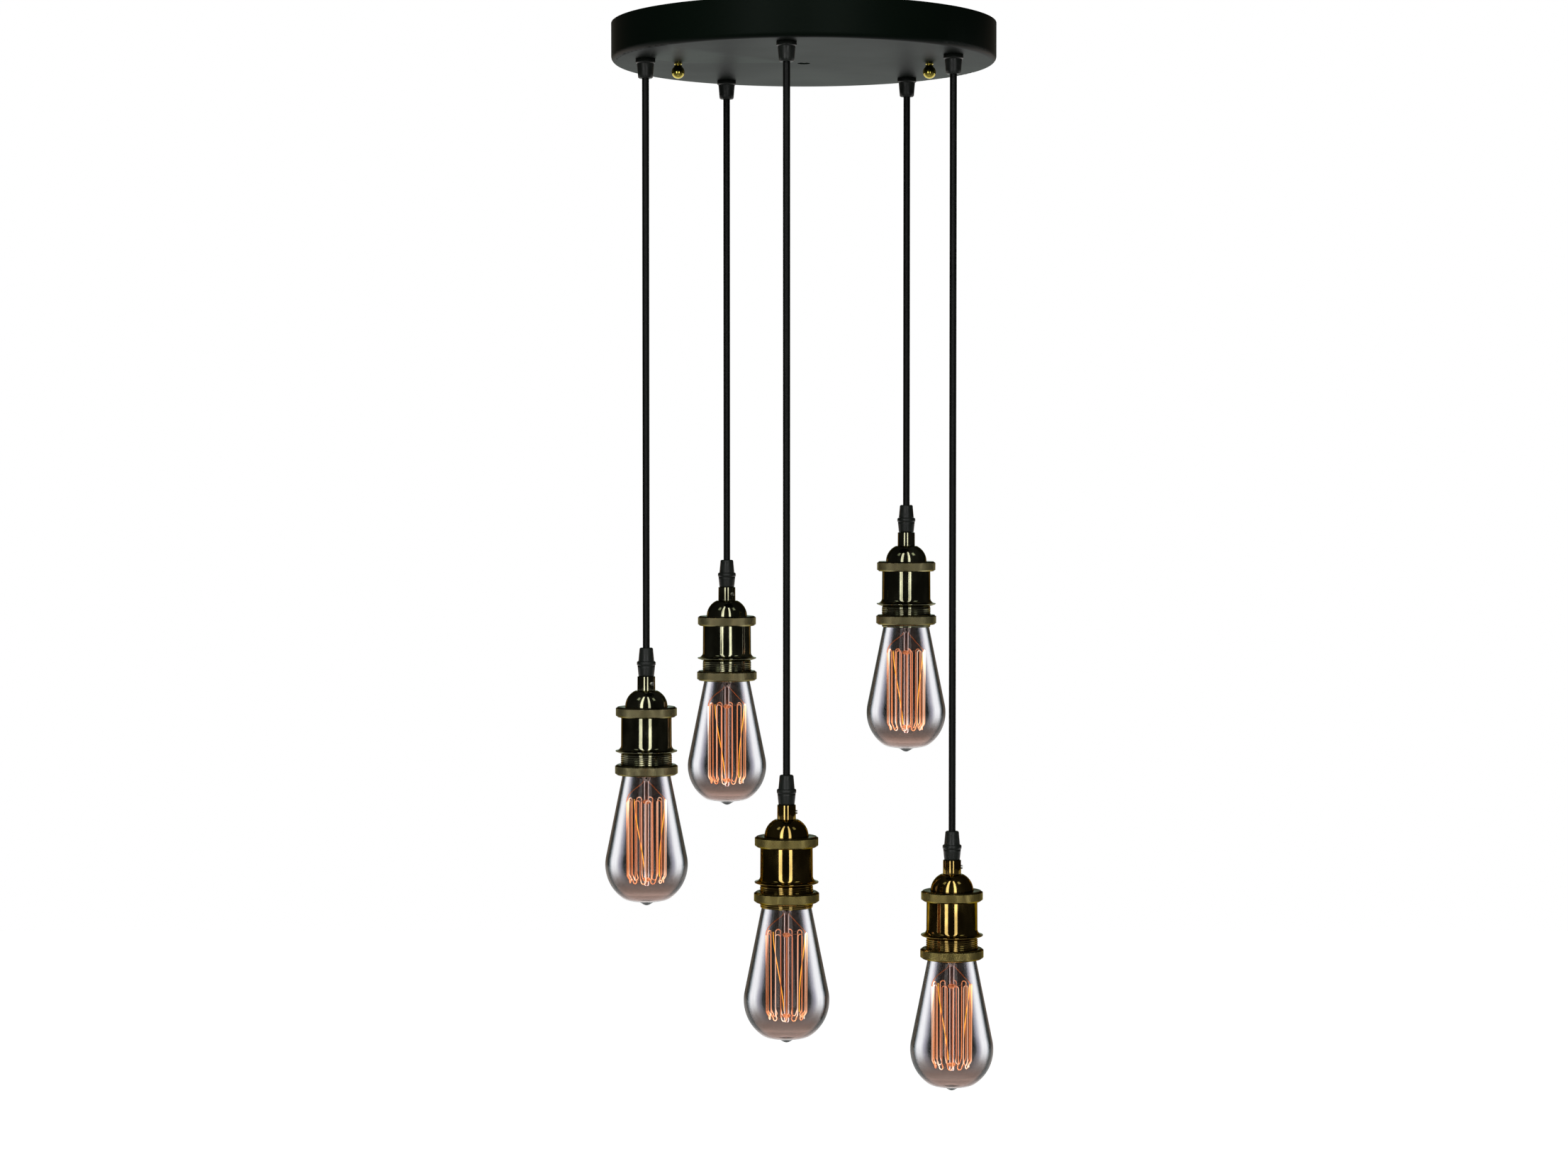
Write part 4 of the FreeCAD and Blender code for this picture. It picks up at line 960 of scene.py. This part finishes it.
def screw_mesh(turn, material):
    """The set screw in the ferrule: a round end with a slot across it."""
    outline = [
        (0, 0),
        (SCREW_RADIUS, 0),
        (SCREW_RADIUS, SCREW_LENGTH - SCREW_EDGE),
        (SCREW_RADIUS - SCREW_EDGE, SCREW_LENGTH),
        (0, SCREW_LENGTH),
    ]
    head = lathe("set_screw", outline, material, around=40, closed=False)
    work = bmesh.new()
    work.from_mesh(head)
    floor = (SCREW_LENGTH - SCREW_SLOT_DEPTH) * MM
    half = SCREW_SLOT / 2 * MM
    for side in (1, -1):
        edge = work.verts[:] + work.edges[:] + work.faces[:]
        bmesh.ops.bisect_plane(work, geom=edge, plane_co=(side * half, 0, 0), plane_no=(1, 0, 0))
    level = work.verts[:] + work.edges[:] + work.faces[:]
    bmesh.ops.bisect_plane(work, geom=level, plane_co=(0, 0, floor), plane_no=(0, 0, 1))
    for vert in work.verts:
        if abs(vert.co.x) <= half * 1.001 and vert.co.z > floor:
            inner = abs(vert.co.x) < half * 0.5
            vert.co.z = floor if inner else vert.co.z
    slot = [f for f in work.faces
            if abs(f.calc_center_median().x) < half and f.calc_center_median().z > floor - 1e-7]
    made = bmesh.ops.extrude_face_region(work, geom=slot)
    moved = [v for v in made["geom"] if isinstance(v, bmesh.types.BMVert)]
    bmesh.ops.delete(work, geom=slot, context="FACES_ONLY")
    for vert in moved:
        vert.co.z = min(vert.co.z, floor)
    bmesh.ops.remove_doubles(work, verts=work.verts, dist=1e-7)
    bmesh.ops.dissolve_degenerate(work, edges=work.edges, dist=1e-8)
    bmesh.ops.recalc_face_normals(work, faces=work.faces)
    screw = mesh_of("set_screw", in_order(work), material)
    place = Matrix.Translation((SCREW_START * MM, 0, -SCREW_DEPTH * MM))
    screw.transform(Matrix.Rotation(turn, 4, "Z") @ place @ Matrix.Rotation(math.pi / 2, 4, "Y"))
    return screw


def ring_mesh(name, bore, outside, lip, material):
    """A knurled ring with its lower face at height 0. Its lip reaches in under the upper face."""
    s = sizes()
    height = RING_BOTTOM - RING_TOP
    root = outside - s.knurl_depth / MM
    top = [(lip, height - RING_LIP), (lip, height, 0.15)] if lip else [(bore, height, 0.2)]
    foot = [(bore, height - RING_LIP)] if lip else []
    line = softened([
        (bore, 0, 0.2),
        (root - RING_CORNER, 0, 0.3),
        (root, RING_CORNER, 0.2),
        (root, height - RING_CORNER, 0.2),
        (root - RING_CORNER, height, 0.3),
    ] + top[::-1] + foot)
    body = lathe(name, line, material)
    edge = RING_CORNER * 0.7
    return through_nodes(body, group_named("knurled_band", knurl_group), {
        "Root": root * MM, "Bottom": edge * MM, "Height": (height - 2 * edge) * MM,
        "Depth": s.knurl_depth, "Count": s.knurl_count, "Rows": s.knurl_rows, "Material": material})


class PENDANT_OT_holders(bpy.types.Operator):
    """Make the five lamp holders: grip, cap, knurled ring, threaded barrel and socket core"""

    bl_idname = "pendant.holders"
    bl_label = "Lamp holders"

    def execute(self, context):
        for name in PENDANTS:
            brass, knurl = finishes["brass_" + name], finishes["knurl_" + name]
            body = "holder_" + name
            top = ferrule_top(name)
            dressed("holder_grip_" + name, finishes["plastic"])
            screw = screw_mesh(math.radians(SCREW_TURNS[name]), finishes["zinc"])
            cap = joined("cap", [cap_mesh(brass), screw])
            put(cap, "holder_cap_turned_" + name, body, top, ("holder_cap_" + name,))
            dressed("socket_core_" + name, finishes["ceramic"])
            put(barrel_mesh(brass), "barrel_turned_" + name, body, top,
                ("barrel_" + name,))
            for node, kind, bore, lip, rides_on in (
                ("upper_ring_", "upper_ring", UPPER_RING_BORE, DOME_RADIUS + RUNNING, body),
                ("lower_ring_", "shade_ring", LOWER_RING_BORE, 0, "shade_ring_" + name),
            ):
                low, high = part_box(node + name)
                outside = (high.x - low.x) / 2 / MM
                put(ring_mesh(kind, bore, outside, lip, knurl), kind + "_knurled_" + name,
                    rides_on, (top.x, top.y, low.z), (node + name,))
        return {"FINISHED"}


# ---- Bulbs, heights above the tip ----


def on_ball(turn):
    """The point of the bulb's ball that far round it from its lowest point."""
    return Vector((BALL * math.sin(turn), BALL - BALL * math.cos(turn)))


def bezier(first, first_handle, last_handle, last, steps):
    """Points along a flat Bezier curve."""
    ends = [Vector((*p, 0)) for p in (first, first_handle, last_handle, last)]
    return [Vector(p[:2]) for p in interpolate_bezier(*ends, steps)]


def glass_line():
    """The bulb's outer line, from the sealed tip to the neck's open end, in mm."""
    low = BALL_FROM
    high = math.pi / 2 + LEAN
    joint = on_ball(low)
    line = bezier((0, 0), (2.6, 0), (4.4, 2.5), (7.2, 3.05), 9)
    line += bezier((7.2, 3.05), (10.2, 3.6), (15.4, 3.9), joint, 8)[1:]
    steps = 26
    line += [on_ball(low + (high - low) * k / steps) for k in range(1, steps + 1)]
    cone = line[-1]
    foot = Vector((cone.x - (SHOULDER - cone.y) * math.tan(LEAN), SHOULDER))
    line += [cone.lerp(foot, k / 4) for k in range(1, 4)]
    line += bezier(foot, foot + Vector((-0.8, 3.9)), (NECK_RADIUS, GLASS_LENGTH - 2.5),
                   (NECK_RADIUS, GLASS_LENGTH), 7)
    line.append(Vector((NECK_RADIUS, NECK_END)))
    return line


def inset_line(line, distance):
    """The line moved inwards, square to itself."""
    moved = []
    for i, point in enumerate(line):
        along = (line[min(i + 1, len(line) - 1)] - line[max(i - 1, 0)]).normalized()
        moved.append(point + Vector((-along.y, along.x)) * distance)
    moved[0].x = 0.0
    moved[-1].y = line[-1].y
    return moved


def glass_mesh():
    outer = glass_line()
    inner = inset_line(outer, sizes().wall / MM)
    mesh = lathe("bulb_glass", outer + inner[::-1], finishes["glass"], around=128, closed=False)
    heights = mesh.attributes.new("height", "FLOAT", "POINT")
    heights.data.foreach_set("value", [v.co.z / (GLASS_LENGTH * MM) for v in mesh.vertices])
    return mesh


def strand_places():
    """The cage's strands in plan, in order round it from the left, front half first."""
    count = 2 * (HAIRPINS_FRONT + HAIRPINS_BACK)
    return [
        Vector((math.cos(angle), math.sin(angle), 0)) * CAGE_RADIUS
        for angle in [math.pi + TURN * (i + 0.5) / count for i in range(count)]
    ]


def drawn_in(place):
    return place * (1 - CAGE_DRAW_IN / CAGE_RADIUS)


def leaning(place, bend):
    """The lowest stretch of a strand, from above down, where it curves in towards the stem."""
    points = []
    for k in range(1, LEAN_STEPS + 1):
        share = k / LEAN_STEPS
        height = CAGE_BOTTOM + CAGE_DRAW_HEIGHT + (bend - CAGE_DRAW_HEIGHT) * share
        points.append(place.lerp(drawn_in(place), share ** LEAN_CURVE) + UP * height)
    return points


def cage_path(places):
    """Down a strand, round a hairpin, up the next, and so on. Its bottom is drawn in."""
    bend = (places[1] - places[0]).length / 2
    path = [places[0] + UP * (CAGE_TOP - bend)]
    for i in range(len(places) - 1):
        near, far = places[i], places[i + 1]
        sign = 1
        crown = CAGE_TOP - bend
        at_bottom = i % 2 == 0
        if at_bottom:
            path += leaning(near, bend)
            near, far = drawn_in(near), drawn_in(far)
            sign = -1
            crown = CAGE_BOTTOM + bend
        middle = (near + far) / 2
        for k in range(1, HAIRPIN_STEPS):
            angle = math.pi * k / HAIRPIN_STEPS
            height = crown + sign * bend * math.sin(angle)
            path.append(middle + (near - middle) * math.cos(angle) + UP * height)
        if at_bottom:
            path += leaning(places[i + 1], bend)[::-1]
        else:
            path.append(far + UP * crown)
    path.append(places[-1] + UP * (CAGE_TOP - bend))
    return path


def hook(place, root_height, end_height):
    """From the button on the stem out to a hairpin, with a small curl round it."""
    out = Vector((place.x, place.y, 0)).normalized()
    start = out * HOOK_ROOT + UP * root_height
    stop = place + UP * end_height
    curl = HOOK_CURL if end_height > root_height else -HOOK_CURL
    return [start, start.lerp(stop, 0.5) + UP * curl, stop, stop + out * 0.5 + UP * curl * 1.2,
            stop + UP * curl * 2.0]


def filament_meshes():
    """Both half cages, their hooks and the two lead wires."""
    places = strand_places()
    split = 2 * HAIRPINS_FRONT
    halves = (places[:split], places[split:])
    bend = (places[1] - places[0]).length / 2
    bends_top = UP * (CAGE_TOP - bend)
    cages = [cage_path(half) for half in halves]
    high = [(half[i] + half[i + 1]) / 2 for half in halves for i in range(1, len(half) - 1, 2)]
    low = [drawn_in((half[i] + half[i + 1]) / 2) for half in halves for i in range(0, len(half), 2)]
    hooks = [hook(place, CAGE_TOP - bend, CAGE_TOP - HOOK_GAP) for place in high]
    hooks += [hook(place, CAGE_BOTTOM + bend, CAGE_BOTTOM + HOOK_GAP) for place in low]
    left = (places[0] + places[-1]) / 2 + bends_top
    right = (places[split - 1] + places[split]) / 2 + bends_top
    root = Vector((LEAD_ROOT, 0, PINCH_BOTTOM + LEAD_ABOVE_PINCH))
    other_root = Vector((-LEAD_ROOT, 0, PINCH_BOTTOM + LEAD_ABOVE_PINCH))
    bow = interpolate_bezier(other_root, other_root - UP * 4, left + UP * 9, left, 16)
    straight = [root, root - UP * 1.5, right + Vector((-1.0, 0, 2.2)), right]
    ties = [[one + bends_top, other * 0.5 + one * 0.5 + bends_top]
            for one, other in ((places[0], places[-1]), (places[split - 1], places[split]))]
    slanting = [
        interpolate_bezier(*[Vector(point) for point in strand], 14) for strand in GOLDEN_STRANDS]
    return [
        wires(cages, sizes().wire_diameter, finishes["filament"]),
        wires(slanting, 0.7 * MM, finishes["gold_strand"]),
        wires(hooks, 0.32 * MM, finishes["hook"], sides=6),
        wires([bow, straight], 0.75 * MM, finishes["lead"]),
        wires(ties, 0.9 * MM, finishes["lead"]),
    ]


def stem_meshes():
    """The flare sealed to the neck, the flattened pinch, the rod and its two buttons."""
    glass = finishes["stem"]
    inner_neck = NECK_RADIUS - sizes().wall / MM - 0.1
    flare = bezier((2.8, PINCH_TOP - 1), (3.2, PINCH_TOP + 5), (5.0, NECK_END - 3),
                   (inner_neck, NECK_END - 1), 10)
    closed = flare + [Vector((inner_neck, NECK_END))] + [
        Vector((max(p.x - 0.9, 0.4), p.y + 0.5)) for p in flare[-2::-1]]
    tube = lathe("flare", closed, glass, around=40)
    rod = lathe("stem_rod", [
        (0, STEM_BOTTOM), (STEM_RADIUS * 0.7, STEM_BOTTOM + 0.3), (STEM_RADIUS, STEM_BOTTOM + 1.5),
        (STEM_RADIUS, PINCH_BOTTOM + 1), (0, PINCH_BOTTOM + 1)], glass, around=32, closed=False)
    pinch = lathe("pinch", [
        (0, PINCH_BOTTOM), (1.9, PINCH_BOTTOM), (2.5, PINCH_BOTTOM + 0.8), (2.9, PINCH_BOTTOM + 2.4),
        (4.0, PINCH_BOTTOM + 5.0), (5.0, PINCH_TOP - 2.0), (4.2, PINCH_TOP), (0, PINCH_TOP)],
        finishes["pinch"], around=48, closed=False)
    pinch.transform(Matrix.Diagonal((1.0, 0.5, 1.0, 1.0)))
    bead = lathe("bead", [
        (BEAD_RADIUS * math.sin(a), BEAD_RADIUS * math.cos(a))
        for a in [math.pi * k / 8 for k in range(9)]], finishes["vitrite"], around=16, closed=False)
    bead.transform(Matrix.Translation((0, -1.5 * MM, (PINCH_BOTTOM + 3.2) * MM)))
    buttons = []
    for middle in (CAGE_TOP - BUTTON_FROM_END, CAGE_BOTTOM + BUTTON_FROM_END):
        buttons.append(lathe("button", [
            (STEM_RADIUS * 0.9, middle - 1.6), (2.6, middle - 1.0), (3.0, middle), (2.6, middle + 1.0),
            (STEM_RADIUS * 0.9, middle + 1.6)], finishes["button"], around=28, closed=False))
    return [tube, rod, pinch, bead, *buttons]


def base_meshes():
    """The threaded brass shell, the black insulator and the centre contact."""
    s = sizes()
    root = BASE_RADIUS - 0.75
    shell = lathe("base_shell", softened([
        (BASE_RADIUS - 0.6, GLASS_LENGTH - 0.2),
        (BASE_RADIUS, GLASS_LENGTH, 0.2),
        (BASE_RADIUS, GLASS_LENGTH + 2.6, 0.3),
        (root - 0.05, GLASS_LENGTH + 3.4),
        (root - 0.05, SHELL_END - 1.6, 0.5),
        (root - 1.6, SHELL_END, 0.4),
        (root - 2.4, SHELL_END - 0.4),
        (root - 0.6, SHELL_END - 2.4),
        (root - 0.6, GLASS_LENGTH + 0.6),
    ]), finishes["base"], around=72)
    length = SHELL_END - 1.8 - GLASS_LENGTH - 3.0
    shell = through_nodes(shell, group_named("thread", thread_group), {
        "Root": root * MM, "Bottom": (GLASS_LENGTH + 3.0) * MM, "Length": length * MM,
        "Pitch": s.base_pitch, "Depth": 0.7 * MM, "Around": 72, "Along": 60,
        "Material": finishes["base"]})
    insulator = lathe("insulator", softened([
        (0, SHELL_END - 1.0), (root - 2.0, SHELL_END - 1.0), (root - 2.4, SHELL_END, 0.4),
        (6.2, CONE_END - 0.3, 0.8), (0, CONE_END - 0.3)]), finishes["vitrite"], around=56, closed=False)
    contact = lathe("contact", [
        (0, CONE_END - 0.6), (4.7, CONE_END - 0.3), (4.7, CONE_END + 0.5), (3.9, CONE_END + 1.2),
        (2.2, CONTACT_END - 0.12), (0, CONTACT_END)], finishes["solder"], around=40, closed=False)
    return [shell, insulator, contact]


class PENDANT_OT_bulbs(bpy.types.Operator):
    """Make the five squirrel-cage filament bulbs"""

    bl_idname = "pendant.bulbs"
    bl_label = "Bulbs"

    def execute(self, context):
        glass = glass_mesh()
        inside = joined("bulb_inside", base_meshes() + stem_meshes() + filament_meshes())
        for name in PENDANTS:
            tip = bulb_tip(name)
            body = "bulb_" + name
            put(glass, "bulb_envelope_" + name, body, tip, ("bulb_glass_" + name,))
            put(inside, "bulb_inside_" + name, body, tip, ("bulb_mount_" + name,))
        return {"FINISHED"}


# ---- Stage ----

CAMERA_PLACE = (-0.0154, -2.507, -0.357)
CAMERA_PITCH = 1.88             # degrees below level
CAMERA_LENS = 73.45             # mm, on a 36 mm wide sensor
FLOOR_HEIGHT = -2.40
FILL = 0.12                     # of the world, on matt surfaces
DIM_ROOM = 0.026                # what gloss that faces the camera shows
FLOOR_GLOW = 0.95
FLOOR_SIZE = 12.0               # from the middle to each side
STRIP_HEIGHT = 2.75             # of the two tall strip lamps' middles
EDGE_HEIGHT = -0.85             # of the two lamps behind, which end below the canopy
HIGH_TINT = (0.90, 1.0, 0.86)

# name, degrees to the right of the front, height, distance, width and height, watts and colour
LAMPS = (
    ("strip_left", -25.5, STRIP_HEIGHT, 2.7, (0.66, 8.0), 76.0, WHITE),
    ("strip_right", 17.0, STRIP_HEIGHT, 2.7, (0.58, 8.0), 67.0, WHITE),
    ("edge_left", -143.0, EDGE_HEIGHT, 1.8, (0.22, 1.2), 1.3, (1.0, 0.60, 0.38)),
    ("edge_right", 146.0, EDGE_HEIGHT, 1.8, (0.20, 1.2), 1.1, (1.0, 0.62, 0.42)),
    ("high_left", -58.0, 2.0, 2.2, (0.7, 1.4), 3.2, HIGH_TINT),
    ("high_right", 56.0, 2.0, 2.2, (0.7, 1.4), 3.2, HIGH_TINT),
)


def rays(t):
    """Whether a ray is the camera's, a gloss's or one that has gone through glass."""
    seen = t.node("ShaderNodeLightPath", out="Is Camera Ray")
    gloss = t.node("ShaderNodeLightPath", out="Is Glossy Ray")
    through = t.node("ShaderNodeLightPath", out="Transmission Depth").math("MINIMUM", 1.0)
    return seen, gloss, through


def world_light():
    """White to the camera and through glass, soft fill, and a dim room behind the camera."""
    world = bpy.data.worlds.new("studio")
    bpy.context.scene.world = world
    world.use_nodes = True
    world.node_tree.nodes.clear()
    t = Tree(world.node_tree)
    seen, gloss, through = rays(t)
    depth = t.axes(t.place())[1]
    dim = (DIM_ROOM, DIM_ROOM, DIM_ROOM)
    room = t.ramp(depth, [
        (0.0, dim), (0.74, dim), (0.91, (0.19, 0.15, 0.11)), (0.975, (0.47, 0.51, 0.45)),
        (1.0, (0.62, 0.82, 0.68))])
    direct = seen.math("MAXIMUM", through)
    soft = t.mix(gloss, (FILL, FILL, FILL), room)
    light = t.node("ShaderNodeBackground", values={"Color": t.mix(direct, soft, WHITE)})
    t.node("ShaderNodeOutputWorld", values={"Surface": light})


def softbox(name, azimuth, height, distance, size, watts, tint):
    """A rectangular lamp that faces the axis of the light, level with itself."""
    lamp = bpy.data.lights.new(name, "AREA")
    lamp.shape = "RECTANGLE"
    lamp.size, lamp.size_y = size
    lamp.energy = watts
    lamp.color = tint
    source = bpy.data.objects.new(name, lamp)
    angle = math.radians(azimuth)
    source.location = (distance * math.sin(angle), -distance * math.cos(angle), height)
    aim = Vector((0, 0, height)) - source.location
    source.rotation_euler = aim.to_track_quat("-Z", "Y").to_euler()
    source.visible_camera = False
    bpy.context.scene.collection.objects.link(source)


def floor_finish():
    """Pale floor, white to the camera, in gloss and through glass. It keeps the shadow."""
    material, t = empty_material("pale_floor")
    grain = t.noise(3.0, 3.0)
    seen, gloss, through = rays(t)
    behind = t.step(t.axes(t.place())[1], 0.1, 1.2)
    direct = seen.math("MAXIMUM", gloss * behind).math("MAXIMUM", through)
    matt = t.node("ShaderNodeBsdfDiffuse", values={
        "Color": t.mix(grain, (0.86, 0.86, 0.86), (0.90, 0.90, 0.90))})
    white = t.node("ShaderNodeEmission", values={"Strength": direct * FLOOR_GLOW})
    both = t.node("ShaderNodeAddShader", values={0: matt, 1: white})
    plain = t.node("ShaderNodeEmission")
    t.node("ShaderNodeOutputMaterial", values={
        "Surface": t.node("ShaderNodeMixShader", values={0: through, 1: both, 2: plain})})
    return material


class PENDANT_OT_stage(bpy.types.Operator):
    """Make the pale floor, the studio lamps and the camera"""

    bl_idname = "pendant.stage"
    bl_label = "Floor, lamps and camera"

    def execute(self, context):
        scene = context.scene
        scene.view_settings.view_transform = "Standard"
        world_light()
        work = bmesh.new()
        bmesh.ops.create_grid(work, x_segments=4, y_segments=4, size=FLOOR_SIZE)
        bmesh.ops.translate(work, verts=work.verts, vec=(0, 0, FLOOR_HEIGHT))
        floor = object_of(mesh_of("floor", work, floor_finish()), "floor")
        for lamp in LAMPS:
            softbox(*lamp)
        lens = bpy.data.cameras.new("camera")
        lens.sensor_width = 36.0
        lens.sensor_fit = "HORIZONTAL"
        lens.lens = CAMERA_LENS
        camera = bpy.data.objects.new("camera", lens)
        camera.location = CAMERA_PLACE
        camera.rotation_euler = (math.radians(90 - CAMERA_PITCH), 0, 0)
        scene.collection.objects.link(camera)
        scene.camera = camera
        return {"FINISHED"}


# ---- Panel and registration ----


OPERATORS = (
    PENDANT_OT_stage, PENDANT_OT_canopy, PENDANT_OT_flexes, PENDANT_OT_holders, PENDANT_OT_bulbs)


class PENDANT_PT_panel(bpy.types.Panel):
    """The pendant's sizes, colours and operators"""

    bl_idname = "PENDANT_PT_panel"
    bl_label = "Cluster pendant"
    bl_space_type = "VIEW_3D"
    bl_region_type = "UI"
    bl_category = "Pendant"

    def draw(self, context):
        for group in (context.scene.pendant_sizes, context.scene.pendant_colours):
            for key in group.bl_rna.properties.keys():
                if key not in ("rna_type", "name"):
                    self.layout.prop(group, key)
        for operator in OPERATORS:
            self.layout.operator(operator.bl_idname)


CLASSES = (PendantSizes, PendantColours, *OPERATORS, PENDANT_PT_panel)


def register():
    for item in CLASSES:
        bpy.utils.register_class(item)
    bpy.types.Scene.pendant_sizes = bpy.props.PointerProperty(type=PendantSizes)
    bpy.types.Scene.pendant_colours = bpy.props.PointerProperty(type=PendantColours)


def unregister():
    del bpy.types.Scene.pendant_colours
    del bpy.types.Scene.pendant_sizes
    for item in reversed(CLASSES):
        bpy.utils.unregister_class(item)


def main():
    register()
    make_finishes()
    bpy.ops.pendant.stage()
    bpy.ops.pendant.canopy()
    bpy.ops.pendant.flexes()
    bpy.ops.pendant.holders()
    bpy.ops.pendant.bulbs()


if __name__ == "__main__":
    main()
